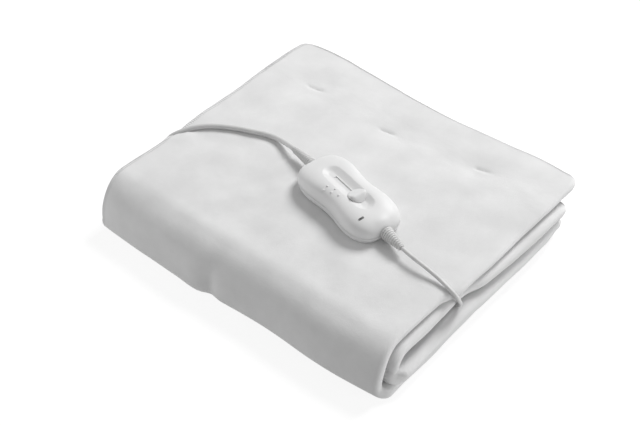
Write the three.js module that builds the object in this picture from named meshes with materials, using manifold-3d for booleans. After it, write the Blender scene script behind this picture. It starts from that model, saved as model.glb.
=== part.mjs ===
// Electric underblanket folded for storage, with its slide controller lying on top.
// Units are millimetres. X runs along the folds, Y from the near fold to the far edge, Z up.
// Everything is laid out from the near left foot of the folded stack; the exported group
// moves that layout so that the origin lies under the middle of the stack.
import * as THREE from "three";
import { mergeVertices } from "three/addons/utils/BufferGeometryUtils.js";
import Module from "manifold-3d";

const wasm = await Module();
wasm.setup();

// ---------------------------------------------------------------- driving dimensions

const ORIGIN = { x: 189.5, y: 163.1 }; // layout point that lies under the middle of the stack
const GAP = 0.3; // air between pieces that touch

const CLOTH_LAYER = 5; // fleece, heating wire and fleece
const STACK_TOP = 56.8; // upper face of the cover ply
const STACK_DEPTH = 328; // near fold to the free far edge of the cover ply

const CASE_LENGTH = 125;
const CASE_WIDTH = 65.5;
const CASE_HEIGHT = 25;
const CASE_WALL = 2.2;
const CASE_SPLIT = 8; // height of the joint between the two shells
const CASE_CENTRE = { x: 214.9, y: 145.3 };
const CASE_TURN = THREE.MathUtils.degToRad(-14.1);
const WAIST_DEPTH = 0.18; // share of the width that the waist draws in
const WAIST_REACH = 29;
const OUTLINE_POWER = 3.4;

const DISH_LENGTH = 78; // thumb trough in the upper shell
const DISH_WIDTH = 22;
const DISH_DEPTH = 3.5;
const DISH_CENTRE_U = 0.3;
const SLOT = { from: -22.5, to: 18.5, width: 3.4 }; // stem slot at the bottom of the trough

const KNOB_REST_U = 14.5;
const KNOB_HALF_LENGTH = 9;
const KNOB_HALF_WIDTH = 9.4;
const KNOB_CREST = 28.6; // height above the foot of the case
const STEM = { length: 6, width: 2.6 };
const RETAINER = { length: 12, width: 9, thickness: 1.4, drop: 0.5 };

const LENS = { u: 43.1, v: -16.1, length: 6.4, width: 2.4, foot: 18.6, proud: 0.15 };

const MAINS_DIAMETER = 5.6;
const BLANKET_LEAD_DIAMETER = 4.2;
const TUBE_SIDES = 8;

// The put-away length of the mains lead: four and a half turns, each laid on the one before.
const HANK = { x: 116, y: 337, length: 150, width: 41, height: 30, waist: 13, layer: 5.7 };
const TIE = { width: 9, thickness: 0.8 };

const PLUG = { x: 292, y: 337, length: 30, width: 35.3, thickness: 13.7, nose: 20, round: 2.2 };
const PIN = { diameter: 4, length: 19, spacing: 18.2 };

const ENTRY = { x: 205, y: 186, length: 30, width: 15, thickness: 4.4 };
const HOLLOW_MID = 27.95; // height of the middle of the hollow between the two inner plies

// ---------------------------------------------------------------- materials

function material(color, roughness, metalness = 0) {
  return new THREE.MeshStandardMaterial({ color, roughness, metalness });
}
const fleeceWhite = () => material(0xe9e8e4, 0.95);
const caseWhite = () => material(0xf1f1ef, 0.35);
const cordWhite = () => material(0xe4e4e1, 0.5);
const lensGrey = () => material(0x8b8b8b, 0.25);
const pinNickel = () => material(0xb9bcc0, 0.3, 1);

// ---------------------------------------------------------------- solids

// A closed geometry as a manifold solid, and back again.
function solidOf(geometry) {
  const bare = new THREE.BufferGeometry();
  bare.setAttribute("position", geometry.getAttribute("position").clone());
  if (geometry.index) bare.setIndex(geometry.index.clone());
  const merged = mergeVertices(bare, 1e-4);
  return new wasm.Manifold(
    new wasm.Mesh({
      numProp: 3,
      vertProperties: new Float32Array(merged.getAttribute("position").array),
      triVerts: new Uint32Array(merged.index.array),
    }),
  );
}

function geometryOf(solid) {
  const made = solid.getMesh();
  const geometry = new THREE.BufferGeometry();
  const positions = new THREE.BufferAttribute(new Float32Array(made.vertProperties), 3);
  geometry.setAttribute("position", positions);
  geometry.setIndex(new THREE.BufferAttribute(new Uint32Array(made.triVerts), 1));
  geometry.computeVertexNormals();
  return geometry;
}

function piece(name, geometry, finish) {
  const mesh = new THREE.Mesh(geometry, finish);
  mesh.name = name;
  return mesh;
}

// Triangles that fill a closed 2-D loop and run the same way round as the loop.
function capFaces(loop) {
  const { area, triangulateShape } = THREE.ShapeUtils;
  const sense = Math.sign(area(loop));
  return triangulateShape(loop, []).map(([a, b, c]) =>
    Math.sign(area([loop[a], loop[b], loop[c]])) === sense ? [a, b, c] : [a, c, b],
  );
}

// A closed skin over rings of points that all have the same count. Each ring is a closed
// loop; capLoop gives the loop of the first or last ring as 2-D points for its end cap.
function loft(rings, capLoop) {
  const count = rings[0].length;
  const positions = rings.flat().flatMap((p) => [p.x, p.y, p.z]);
  const faces = [];
  for (let r = 0; r + 1 < rings.length; r++) {
    for (let i = 0; i < count; i++) {
      const a = r * count + i;
      const b = r * count + ((i + 1) % count);
      faces.push(a, b, a + count, b, b + count, a + count);
    }
  }
  const last = (rings.length - 1) * count;
  for (const [a, b, c] of capFaces(capLoop(rings[0]))) faces.push(c, b, a);
  for (const [a, b, c] of capFaces(capLoop(rings.at(-1)))) {
    faces.push(last + a, last + b, last + c);
  }
  const geometry = new THREE.BufferGeometry();
  geometry.setAttribute("position", new THREE.Float32BufferAttribute(positions, 3));
  geometry.setIndex(faces);
  return geometry;
}

const smooth = (t) => t * t * (3 - 2 * t);
const share = (value, from, to) => THREE.MathUtils.clamp((value - from) / (to - from), 0, 1);

// ---------------------------------------------------------------- folded cloth

// The cloth is first folded in half across its width, so every ply is two layers thick:
// its fold is the round end at the right, its two hemmed edges lie at the left. That double
// ply is then folded in half twice along its length. Each row is a section on the way from
// the free end of the cover ply to the free end of the inner ply. `way` says how the ply
// comes to the row: straight on, or by a quarter turn that starts level or upright.
const SECTIONS = [
  { way: "start", y: STACK_DEPTH, z: 51.2, ply: 11, crest: 366, round: 9, hem: 20, under: 25, steps: 0 },
  { way: "run", y: 326.6, z: 51.2, ply: 11, crest: 370, round: 9, hem: 10, under: 15, steps: 1 },
  { way: "run", y: 323.6, z: 51.2, ply: 11, crest: 372.6, round: 10, hem: 4.5, under: 9.5, steps: 1 },
  { way: "run", y: 318, z: 51.2, ply: 11, crest: 373.8, round: 10, hem: 1.6, under: 6.6, steps: 1 },
  { way: "run", y: 310, z: 51.2, ply: 11, crest: 374, round: 10, hem: 0.6, under: 5.6, steps: 1 },
  { way: "run", y: 128, z: 51.3, ply: 11, crest: 374, round: 11, hem: 0, under: 5, steps: 6 },
  { way: "run", y: 98, z: 51.3, ply: 11, crest: 366, round: 9, hem: 0, under: 4, steps: 3 },
  { way: "run", y: 38, z: 51.3, ply: 11, crest: 365, round: 8, hem: -2, under: 4, steps: 2 },
  { way: "level", y: 5.5, z: 13, ply: 11, crest: 370, round: 6, hem: 1, under: 5, steps: 9 },
  { way: "upright", y: 13, z: 5.5, ply: 11, crest: 373, round: 7, hem: 3, under: 6, steps: 5 },
  { way: "run", y: 40, z: 5.5, ply: 11, crest: 372, round: 7, hem: 3, under: 6, steps: 2 },
  { way: "run", y: 292, z: 5.5, ply: 11, crest: 371, round: 7, hem: 4, under: 8, steps: 5 },
  { way: "level", y: 299.4, z: 12.8, ply: 11.5, crest: 375, round: 8, hem: 3, under: 6, steps: 4 },
  { way: "upright", y: 291, z: 20.1, ply: 12.5, crest: 379, round: 9, hem: 2, under: 5, steps: 4 },
  { way: "run", y: 264, z: 19, ply: 14.2, crest: 382, round: 10, hem: 5, under: 2, steps: 2 },
  { way: "run", y: 215, z: 18.6, ply: 13.5, crest: 382, round: 10, hem: 5, under: 2, steps: 2 },
  { way: "run", y: 122, z: 18.6, ply: 13.5, crest: 382, round: 10, hem: 6, under: 2, steps: 3 },
  { way: "run", y: 80, z: 18.6, ply: 13.5, crest: 382, round: 10, hem: 6, under: 2, steps: 2 },
  { way: "run", y: 38, z: 18.2, ply: 13, crest: 380, round: 10, hem: 6, under: 3, steps: 2 },
  { way: "level", y: 25.5, z: 27.2, ply: 12.5, crest: 372, round: 7, hem: 7, under: 3, steps: 5 },
  { way: "upright", y: 45, z: 38, ply: 12.5, crest: 371, round: 7, hem: 6, under: 2, steps: 5 },
  { way: "run", y: 80, z: 37.9, ply: 14.6, crest: 372, round: 7, hem: 5, under: 2, steps: 2 },
  { way: "run", y: 130, z: 37.9, ply: 14.6, crest: 371.6, round: 7, hem: 5, under: 2, steps: 2 },
  { way: "run", y: 165, z: 37.9, ply: 14.6, crest: 375, round: 8, hem: 5, under: 2, steps: 2 },
  { way: "run", y: 215, z: 37.8, ply: 14.8, crest: 377, round: 8, hem: 5, under: 1, steps: 2 },
  { way: "run", y: 260, z: 37.5, ply: 15.4, crest: 380, round: 9, hem: 5, under: 1, steps: 2 },
  { way: "run", y: 292, z: 37.2, ply: 14.6, crest: 381.5, round: 9, hem: 4, under: 2, steps: 2 },
  { way: "run", y: 299, z: 36.4, ply: 13, crest: 380.5, round: 9, hem: 5, under: 4, steps: 1 },
  { way: "run", y: 303, z: 35.6, ply: 11.4, crest: 377, round: 8, hem: 10, under: 9, steps: 1 },
];

const FOLD_PUFF = 3.5; // outward swell of the near fold between its two ends
const FOLD_WAVE = { height: 1.5, crest: 120, length: 190 };
const EDGE_WAVE = { mean: -1, height: 4, crest: 345, length: 285, reach: 60 };
const CREASE = { x: 157, depth: 3, width: 9 }; // upright crease at the foot of the near fold
// The outer layer sags at the foot of the near fold, more towards the left end.
const FOOT_SAG = { least: 1.2, most: 4, from: 230, to: 120 };
// Where the mains lead presses the left edge of the cover ply down.
const DENT = { y: 114, slant: 1.25, depth: 8, width: 16, reach: 26 };
// Where the blanket lead enters the hollow and lifts its mouth.
const LIFT = { y: 122, height: 6, width: 34, from: 320, to: 372 };

// Sections between the rows of the table, with their direction in the Y-Z plane.
function plySections() {
  const columns = ["ply", "crest", "round", "hem", "under"];
  const sections = [];
  SECTIONS.forEach((row, i) => {
    if (row.way === "start") {
      sections.push({ ...row, ty: -1, tz: 0 });
      return;
    }
    const from = SECTIONS[i - 1];
    const dy = row.y - from.y;
    const dz = row.z - from.z;
    for (let step = 1; step <= row.steps; step++) {
      const t = step / row.steps;
      const turn = (t * Math.PI) / 2;
      const at = { y: from.y + dy * t, z: from.z + dz * t, ty: dy, tz: dz };
      if (row.way === "level") {
        at.y = from.y + dy * Math.sin(turn);
        at.z = from.z + dz * (1 - Math.cos(turn));
        at.ty = dy * Math.cos(turn);
        at.tz = dz * Math.sin(turn);
      }
      if (row.way === "upright") {
        at.y = from.y + dy * (1 - Math.cos(turn));
        at.z = from.z + dz * Math.sin(turn);
        at.ty = dy * Math.sin(turn);
        at.tz = dz * Math.cos(turn);
      }
      const length = Math.hypot(at.ty, at.tz);
      at.ty /= length;
      at.tz /= length;
      for (const column of columns) {
        at[column] = THREE.MathUtils.lerp(from[column], row[column], smooth(t));
      }
      sections.push(at);
    }
  });
  return sections;
}

const HEM_ROUND = 1.6;
const LENGTHWISE = [0.008, 0.06, 0.18, 0.3, 0.385, 0.43, 0.48, 0.66, 0.86, 1];
const CREST_STEPS = 6;

// The loop of one section as pairs of x and distance from the middle of the ply: along the
// outer layer, round the fold, back along the inner layer and round the slit between them.
function plyLoop({ ply, crest, round, hem, under }) {
  const half = ply / 2;
  const slit = half - CLOTH_LAYER;
  const faceEnd = crest - round;
  const slitEnd = crest - round - CLOTH_LAYER / 2;
  const along = (from, to) => LENGTHWISE.map((t) => from + (to - from) * t);
  const loop = [];
  along(hem, faceEnd).forEach((x) => loop.push([x, half]));
  for (let i = 1; i < CREST_STEPS; i++) {
    const turn = (i / CREST_STEPS) * Math.PI;
    loop.push([faceEnd + round * Math.sin(turn), half * Math.cos(turn)]);
  }
  along(under, faceEnd).reverse().forEach((x) => loop.push([x, -half]));
  loop.push([under, -half + HEM_ROUND], [under, -slit - HEM_ROUND]);
  along(under, slitEnd).forEach((x) => loop.push([x, -slit]));
  loop.push([slitEnd + slit, 0]);
  along(hem, slitEnd).reverse().forEach((x) => loop.push([x, slit]));
  loop.push([hem, slit + HEM_ROUND], [hem, half - HEM_ROUND]);
  return loop.reverse();
}

// How far the near fold stands out at x, and how far the free cover edge does.
function foldSwell(x) {
  const span = 1 - Math.abs((2 * x) / 370 - 1) ** 4;
  const wave = Math.cos(((x - FOLD_WAVE.crest) / FOLD_WAVE.length) * 2 * Math.PI);
  return FOLD_PUFF * span + FOLD_WAVE.height * wave;
}
function footSag(x) {
  const { least, most, from, to } = FOOT_SAG;
  return THREE.MathUtils.lerp(least, most, smooth(share(x, from, to)));
}
function edgeSwell(x) {
  const wave = Math.cos(((x - EDGE_WAVE.crest) / EDGE_WAVE.length) * 2 * Math.PI);
  return EDGE_WAVE.mean + EDGE_WAVE.height * wave;
}

// How far the mains lead presses the cover ply down at its left edge.
function leadDent(x, y, z) {
  const acrossLead = Math.exp(-(((y - DENT.y - DENT.slant * x) / DENT.width) ** 2));
  return DENT.depth * acrossLead * share(x, DENT.reach, 0) * share(z, STACK_TOP - 11, STACK_TOP);
}

// How far the blanket lead holds the mouth of the hollow up: the ply below swells there and
// the ply above is squeezed.
function hollowLift(x, y, z) {
  const alongMouth = Math.exp(-(((y - LIFT.y) / LIFT.width) ** 2)) * share(x, LIFT.from, LIFT.to);
  return LIFT.height * alongMouth * share(z, 12, 25.3) * share(z, 45.2, 30.6);
}

function foldedCloth() {
  const sections = plySections();
  const rings = sections.map((section) => {
    const normalY = section.tz;
    const normalZ = -section.ty;
    const facesNear = Math.max(0, -normalY) * share(section.y, 26, 12);
    const facesFoot = 2 * facesNear * Math.max(0, -normalZ);
    const low = share(section.z, 40, 12);
    const isCover = section.z > STACK_TOP - SECTIONS[0].ply;
    const towardsEdge = share(section.y, STACK_DEPTH - EDGE_WAVE.reach, STACK_DEPTH);
    const nearFreeEdge = isCover ? towardsEdge : 0;
    return plyLoop(section).map(([x, offset]) => {
      const crease = CREASE.depth * low * Math.exp(-(((x - CREASE.x) / CREASE.width) ** 2));
      const sag = offset > 0 ? facesFoot * footSag(x) : 0;
      const out = offset + facesNear * (foldSwell(x) - crease) + sag;
      const y = section.y + normalY * out + edgeSwell(x) * nearFreeEdge ** 2;
      const z = Math.max(0, section.z + normalZ * out);
      return new THREE.Vector3(x, y, z - leadDent(x, y, z) + hollowLift(x, y, z));
    });
  });
  const firstLoop = plyLoop(sections[0]).map(([x, offset]) => new THREE.Vector2(x, offset));
  const lastLoop = plyLoop(sections.at(-1)).map(([x, offset]) => new THREE.Vector2(x, offset));
  return loft(rings, (ring) => (ring === rings[0] ? firstLoop : lastLoop));
}

// ---------------------------------------------------------------- controller

// Half width of the case outline at u along its length.
function caseHalfWidth(u) {
  const along = Math.min(1, Math.abs(u) / (CASE_LENGTH / 2));
  const plain = (CASE_WIDTH / 2) * (1 - along ** OUTLINE_POWER) ** (1 / OUTLINE_POWER);
  return plain * (1 - WAIST_DEPTH * Math.exp(-((u / WAIST_REACH) ** 2)));
}

const OUTLINE_STEPS = 44;
function caseOutline(scale, height, inset) {
  const ring = [];
  for (let i = 0; i < OUTLINE_STEPS; i++) {
    const turn = (i / OUTLINE_STEPS) * 2 * Math.PI;
    const u = (CASE_LENGTH / 2) * Math.sign(Math.cos(turn)) * Math.abs(Math.cos(turn)) ** 0.8;
    const v = Math.sign(Math.sin(turn)) * caseHalfWidth(u);
    const reach = Math.hypot(u, v);
    const kept = Math.max(0.02, scale - inset / reach);
    ring.push(new THREE.Vector3(u * kept, v * kept, height));
  }
  return ring;
}

// The two halves of the case as smooth closed forms, drawn in by `inset` on every side.
const SHOULDER = { scale: 0.5, height: 0.74, steps: 9 };
function crownForm(inset, floor) {
  const rings = [caseOutline(1, floor, inset)];
  const rise = CASE_HEIGHT - inset - CASE_SPLIT;
  for (let i = 1; i <= SHOULDER.steps; i++) {
    const turn = (i / (SHOULDER.steps + 0.35)) * (Math.PI / 2);
    const scale = Math.cos(turn) ** SHOULDER.scale;
    const height = CASE_SPLIT + rise * Math.sin(turn) ** SHOULDER.height;
    rings.push(caseOutline(scale, height, inset));
  }
  return solidOf(loft(rings, (ring) => ring.map((p) => new THREE.Vector2(p.x, p.y))));
}

const TRAY_ROWS = [
  { scale: 0.9, height: 0 },
  { scale: 0.955, height: 1.2 },
  { scale: 0.985, height: 4 },
  { scale: 1, height: CASE_SPLIT },
];
function trayForm(inset, floor) {
  const rings = TRAY_ROWS.map(({ scale, height }) =>
    caseOutline(scale, floor + height * (1 - floor / CASE_SPLIT), inset),
  );
  return solidOf(loft(rings, (ring) => ring.map((p) => new THREE.Vector2(p.x, p.y))));
}

function placed(geometry, x, y, z) {
  geometry.translate(x, y, z);
  return solidOf(geometry);
}

// A cylinder along the length of the case.
function rodAlongCase(radius, from, to, height) {
  const rod = new THREE.CylinderGeometry(radius, radius, to - from, 24);
  rod.rotateZ(Math.PI / 2);
  return placed(rod, (from + to) / 2, 0, height);
}

// The thumb trough is part of a long round-ended bar that dips into the crown.
const TROUGH_RADIUS = ((DISH_WIDTH / 2) ** 2 + DISH_DEPTH ** 2) / (2 * DISH_DEPTH);
const TROUGH_AXIS = CASE_HEIGHT - DISH_DEPTH + TROUGH_RADIUS;
function troughBar(radius) {
  const bar = new THREE.CapsuleGeometry(radius, DISH_LENGTH - DISH_WIDTH, 12, 56);
  bar.rotateZ(Math.PI / 2);
  return placed(bar, DISH_CENTRE_U, 0, TROUGH_AXIS);
}

const BORE_HEIGHT = 9.6; // middle of the two cord bores
const BOOT = { ribs: 10, groove: 0.9, neck: 5.4, rootRadius: 7.4, start: CASE_LENGTH / 2 + 0.4 };
const FLANGE = { radius: 6.8, thickness: 1.6, face: CASE_LENGTH / 2 - 8.5 };

function boreCut() {
  return rodAlongCase(BOOT.neck + GAP, -CASE_LENGTH, CASE_LENGTH, BORE_HEIGHT);
}

function upperShell() {
  const inner = crownForm(CASE_WALL, CASE_SPLIT - 1).subtract(troughBar(TROUGH_RADIUS + CASE_WALL));
  const slotLength = SLOT.to - SLOT.from;
  const slotCut = placed(
    new THREE.BoxGeometry(slotLength, SLOT.width, 12),
    (SLOT.from + SLOT.to) / 2,
    0,
    CASE_HEIGHT - DISH_DEPTH,
  );
  const lensCut = placed(
    new THREE.BoxGeometry(LENS.width + 2 * GAP, LENS.length + 2 * GAP, 40),
    LENS.u,
    LENS.v,
    CASE_HEIGHT,
  );
  return crownForm(0, CASE_SPLIT + GAP)
    .subtract(inner)
    .subtract(troughBar(TROUGH_RADIUS))
    .subtract(slotCut)
    .subtract(lensCut)
    .subtract(boreCut());
}

function lowerShell() {
  return trayForm(0, 0).subtract(trayForm(CASE_WALL, CASE_WALL)).subtract(boreCut());
}

// The slide: a cap that follows the trough, a stem through the slot and a retainer below it.
function slideKnob() {
  const blank = new THREE.CylinderGeometry(1, 1, 12, 32);
  blank.rotateX(Math.PI / 2);
  blank.scale(KNOB_HALF_LENGTH, KNOB_HALF_WIDTH, 1);
  const cap = placed(blank, 0, 0, CASE_HEIGHT + 1)
    .intersect(troughBar(TROUGH_RADIUS - GAP))
    .intersect(knobProfile());
  const stemTop = CASE_HEIGHT - DISH_DEPTH + 2;
  const retainerTop = CASE_HEIGHT - DISH_DEPTH - CASE_WALL - RETAINER.drop;
  const stemFoot = retainerTop - RETAINER.thickness / 2;
  const stem = placed(
    new THREE.BoxGeometry(STEM.length, STEM.width, stemTop - stemFoot),
    0,
    0,
    (stemTop + stemFoot) / 2,
  );
  const retainer = placed(
    new THREE.BoxGeometry(RETAINER.length, RETAINER.width, RETAINER.thickness),
    0,
    0,
    retainerTop - RETAINER.thickness / 2,
  );
  return cap.add(stem).add(retainer);
}

// Side view of the thumb piece: it climbs from the upper end to a crest and drops steeply.
const KNOB_SIDE = [
  { u: -9, z: 12 },
  { u: 9, z: 12 },
  { u: 8, z: 23.5 },
  { u: 5.6, z: KNOB_CREST - 1.2 },
  { u: 3.6, z: KNOB_CREST },
  { u: 1, z: KNOB_CREST - 0.5 },
  { u: -5, z: 25.4 },
  { u: -9, z: 24.4 },
];
function knobProfile() {
  const side = new THREE.Shape(KNOB_SIDE.map(({ u, z }) => new THREE.Vector2(u, z)));
  const bar = new THREE.ExtrudeGeometry(side, { depth: 40, bevelEnabled: false });
  bar.translate(0, 0, -20);
  bar.rotateX(Math.PI / 2);
  return solidOf(bar);
}

function indicatorLens() {
  const column = placed(
    new THREE.BoxGeometry(LENS.width, LENS.length, CASE_HEIGHT),
    LENS.u,
    LENS.v,
    LENS.foot + CASE_HEIGHT / 2,
  );
  return column.intersect(crownForm(-LENS.proud, CASE_SPLIT));
}

// Ribbed strain relief, turned about the cord: a flange inside the case, a neck through its
// wall and a tapering boot whose ribs let it bend. `droop` is how far the tip bends aside and down.
function reliefGeometry(length, tipRadius, droop) {
  const profile = [
    new THREE.Vector2(0, FLANGE.face - FLANGE.thickness),
    new THREE.Vector2(FLANGE.radius, FLANGE.face - FLANGE.thickness),
    new THREE.Vector2(FLANGE.radius, FLANGE.face),
    new THREE.Vector2(BOOT.neck, FLANGE.face),
    new THREE.Vector2(BOOT.neck, BOOT.start),
  ];
  const pitch = length / BOOT.ribs;
  for (let rib = 0; rib < BOOT.ribs; rib++) {
    const start = BOOT.start + rib * pitch;
    const radius = THREE.MathUtils.lerp(BOOT.rootRadius, tipRadius, rib / (BOOT.ribs - 1));
    profile.push(new THREE.Vector2(radius, start + 0.05));
    profile.push(new THREE.Vector2(radius, start + 0.6 * pitch));
    profile.push(new THREE.Vector2(radius - BOOT.groove, start + 0.72 * pitch));
    profile.push(new THREE.Vector2(radius - BOOT.groove, start + 0.95 * pitch));
  }
  profile.push(new THREE.Vector2(0, BOOT.start + length));
  const relief = new THREE.LatheGeometry(profile, 12);
  relief.rotateZ(-Math.PI / 2);
  const position = relief.getAttribute("position");
  for (let i = 0; i < position.count; i++) {
    const bend = share(position.getX(i), CASE_LENGTH / 2, BOOT.start + length) ** 2;
    position.setY(i, position.getY(i) + droop.aside * bend);
    position.setZ(i, position.getZ(i) + BORE_HEIGHT - droop.down * bend);
  }
  return geometryOf(solidOf(relief));
}

// ---------------------------------------------------------------- cords

// Points of the free stretches of the mains lead and of the blanket lead, placed by hand.
const TABLE = MAINS_DIAMETER / 2 + 0.1; // height of the middle of a lead that lies on the table
// The lead comes to the near side of the hank at the bottom and leaves it there on top.
const HANK_SIDE = HANK.y - HANK.width / 2 + MAINS_DIAMETER / 2;
const HANK_ROUND_TO = 68.6; // how far from the middle the round end crosses the lead
const HANK_ENTRY_X = HANK.x - HANK_ROUND_TO - GAP;
const HANK_EXIT_X = HANK.x + HANK_ROUND_TO + GAP;
const HANK_TOP_TURN = TABLE + 4 * HANK.layer;
const PLUG_TAIL_X = PLUG.x - PLUG.length / 2 - PLUG.nose - GAP;
const MAINS_ROUTE = [
  [124.3, 167.4, 65.3],
  [118, 169.1, 64.6],
  [110, 171, 63.2],
  [101, 172.6, 61.6],
  [88, 172.8, 60.2],
  [75, 169.2, 60],
  [62, 163.6, 60],
  [50, 158.4, 60],
  [40, 152.8, 60],
  [30, 146.4, 60],
  [21.4, 139.4, 59.8],
  [14, 131.8, 59],
  [7.6, 123.8, 56.9],
  [1.2, 116, 54.1],
  [-5, 109.2, 47.8],
  [-7.4, 104.8, 38],
  [-8.8, 103.4, 27.6],
  [-10, 105.4, 17.8],
  [-11.2, 111.2, 9.6],
  [-12.6, 121, 4.6],
  [-14, 133, 3.1],
  [-15.6, 150, TABLE],
  [-16.4, 176, TABLE],
  [-16, 206, TABLE],
  [-15.4, 236, TABLE],
  [-15, 264, TABLE],
  [-13.8, 286, TABLE],
  [-9, 303, TABLE],
  [3, 315.4, TABLE],
  [20, HANK_SIDE, TABLE],
  [HANK_ENTRY_X - 8, HANK_SIDE, TABLE],
  [HANK_ENTRY_X, HANK_SIDE, TABLE],
];
const TAIL_ROUTE = [
  [HANK_EXIT_X, HANK_SIDE, HANK_TOP_TURN],
  [HANK_EXIT_X + 6, HANK_SIDE, HANK_TOP_TURN - 0.6],
  [199, 320.8, 21.6],
  [208, 323.8, 14.4],
  [218, 328.2, 7.4],
  [230, 333, 4],
  [241, 336, 5],
  [PLUG_TAIL_X - 5, PLUG.y, PLUG.thickness / 2],
  [PLUG_TAIL_X, PLUG.y, PLUG.thickness / 2],
];
const LEAD_ROUTE = [
  [300.2, 124.5, 65.1],
  [306.5, 123.2, 64.9],
  [313, 122.2, 64.5],
  [321, 121.3, 63.9],
  [331, 120.3, 63.1],
  [341, 119.2, 62.1],
  [352, 117.6, 61],
  [361, 115.8, 59.9],
  [367.4, 114.6, 58.6],
  [372.4, 114.6, 55.8],
  [375.6, 115.8, 51.4],
  [376.6, 117.8, 46.4],
  [375.8, 120.2, 41.2],
  [372.9, 122.3, 36],
  [366.6, 124.5, 32.8],
  [358, 126.4, 32.3],
  [344, 127.4, 30.7],
  [326, 126.4, 28.6],
  [306, 123.4, HOLLOW_MID],
  [284, 120.6, HOLLOW_MID],
  [264, 121.4, HOLLOW_MID],
  [247, 128.6, HOLLOW_MID],
  [237, 141, HOLLOW_MID],
  [234, 156, HOLLOW_MID],
  [235.4, 172, HOLLOW_MID],
  [231.5, 182.4, HOLLOW_MID],
  [ENTRY.x + ENTRY.length / 2 + 4, ENTRY.y, HOLLOW_MID],
  [ENTRY.x + ENTRY.length / 2 + GAP, ENTRY.y, HOLLOW_MID],
];

function tubeGeometry(points, diameter, steps) {
  const section = new THREE.Shape();
  section.absarc(0, 0, diameter / 2, 0, 2 * Math.PI, false);
  const vectors = points.map(([x, y, z]) => new THREE.Vector3(x, y, z));
  return new THREE.ExtrudeGeometry(section, {
    steps,
    curveSegments: TUBE_SIDES / 2,
    extrudePath: new THREE.CatmullRomCurve3(vectors, false, "centripetal"),
    bevelEnabled: false,
  });
}

// A box with its middle at x, y and its foot at z.
function block(x, y, z, length, width, height) {
  return placed(new THREE.BoxGeometry(length, width, height), x, y, z + height / 2);
}

// The strap of the tie, closed round the waist of the hank.
function tieStrap(clearance) {
  const inner = HANK.waist + 2 * clearance;
  const outer = HANK.waist + 2 * TIE.thickness;
  const hole = HANK.height - 2 * TIE.thickness;
  return block(HANK.x, HANK.y, 0, TIE.width, outer, HANK.height).subtract(
    block(HANK.x, HANK.y, TIE.thickness - clearance, TIE.width + 2, inner, hole + 2 * clearance),
  );
}

// Outer shape of the tied hank: two round ends, drawn in to a waist under the tie.
function hankSolid() {
  const end = HANK.length / 2 - HANK.width / 2;
  const half = HANK.width / 2;
  const waist = HANK.waist / 2 - GAP;
  const flat = TIE.width;
  const outline = new THREE.Shape();
  outline.moveTo(flat, -waist);
  outline.bezierCurveTo(end * 0.5, -waist, end * 0.55, -half, end, -half);
  outline.absarc(end, 0, half, -Math.PI / 2, Math.PI / 2, false);
  outline.bezierCurveTo(end * 0.55, half, end * 0.5, waist, flat, waist);
  outline.lineTo(-flat, waist);
  outline.bezierCurveTo(-end * 0.5, waist, -end * 0.55, half, -end, half);
  outline.absarc(-end, 0, half, Math.PI / 2, (3 * Math.PI) / 2, false);
  outline.bezierCurveTo(-end * 0.55, -half, -end * 0.5, -waist, -flat, -waist);
  outline.closePath();
  const body = new THREE.ExtrudeGeometry(outline, {
    depth: HANK.height,
    bevelEnabled: false,
    curveSegments: 8,
  });
  const groove = TIE.thickness + GAP;
  const wide = HANK.width;
  const width = TIE.width + 2 * GAP;
  return placed(body, HANK.x, HANK.y, 0)
    .subtract(block(HANK.x, HANK.y, -groove, width, wide, 2 * groove))
    .subtract(block(HANK.x, HANK.y, HANK.height - groove, width, wide, 2 * groove));
}

// Flat two-pin plug lying on its side: a waisted body that narrows to a nose for the lead.
const PLUG_OUTLINE = [
  { u: PLUG.length / 2, v: PLUG.width / 2 - 5 },
  { u: PLUG.length / 2 - 3, v: PLUG.width / 2 },
  { u: -4, v: PLUG.width / 2 },
  { u: -PLUG.length / 2, v: 10 },
  { u: -PLUG.length / 2 - 5, v: 7 },
  { u: -PLUG.length / 2 - PLUG.nose, v: 4.6 },
];
function plugBody() {
  const upper = PLUG_OUTLINE.map(({ u, v }) => new THREE.Vector2(u, v));
  const lower = PLUG_OUTLINE.map(({ u, v }) => new THREE.Vector2(u, -v)).reverse();
  const outline = new THREE.Shape([...upper, ...lower]);
  const body = new THREE.ExtrudeGeometry(outline, {
    depth: PLUG.thickness - 2 * PLUG.round,
    bevelThickness: PLUG.round,
    bevelSize: PLUG.round,
    bevelOffset: -PLUG.round,
    bevelSegments: 2,
  });
  return geometryOf(placed(body, PLUG.x, PLUG.y, PLUG.round));
}

function pinGeometry(side) {
  const rod = new THREE.CylinderGeometry(PIN.diameter / 2, PIN.diameter / 2, PIN.length, 16);
  rod.rotateZ(Math.PI / 2);
  const x = PLUG.x + PLUG.length / 2 + GAP + PIN.length / 2;
  rod.translate(x, PLUG.y + (side * PIN.spacing) / 2, PLUG.thickness / 2);
  return rod;
}

// Moulded entry sewn into the hollow, where the blanket lead joins the heating wire.
function entryGeometry() {
  const outline = new THREE.Shape();
  const round = ENTRY.width / 2;
  outline.moveTo(ENTRY.length / 2, -3);
  outline.lineTo(ENTRY.length / 2, 3);
  outline.lineTo(ENTRY.length / 2 - 8, round);
  outline.lineTo(-ENTRY.length / 2 + round, round);
  outline.absarc(-ENTRY.length / 2 + round, 0, round, Math.PI / 2, (3 * Math.PI) / 2, false);
  outline.lineTo(ENTRY.length / 2 - 8, -round);
  outline.closePath();
  const tab = new THREE.ExtrudeGeometry(outline, {
    depth: ENTRY.thickness,
    bevelEnabled: false,
    curveSegments: 8,
  });
  return geometryOf(placed(tab, ENTRY.x, ENTRY.y, HOLLOW_MID - ENTRY.thickness / 2));
}

// ---------------------------------------------------------------- assembly

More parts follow.
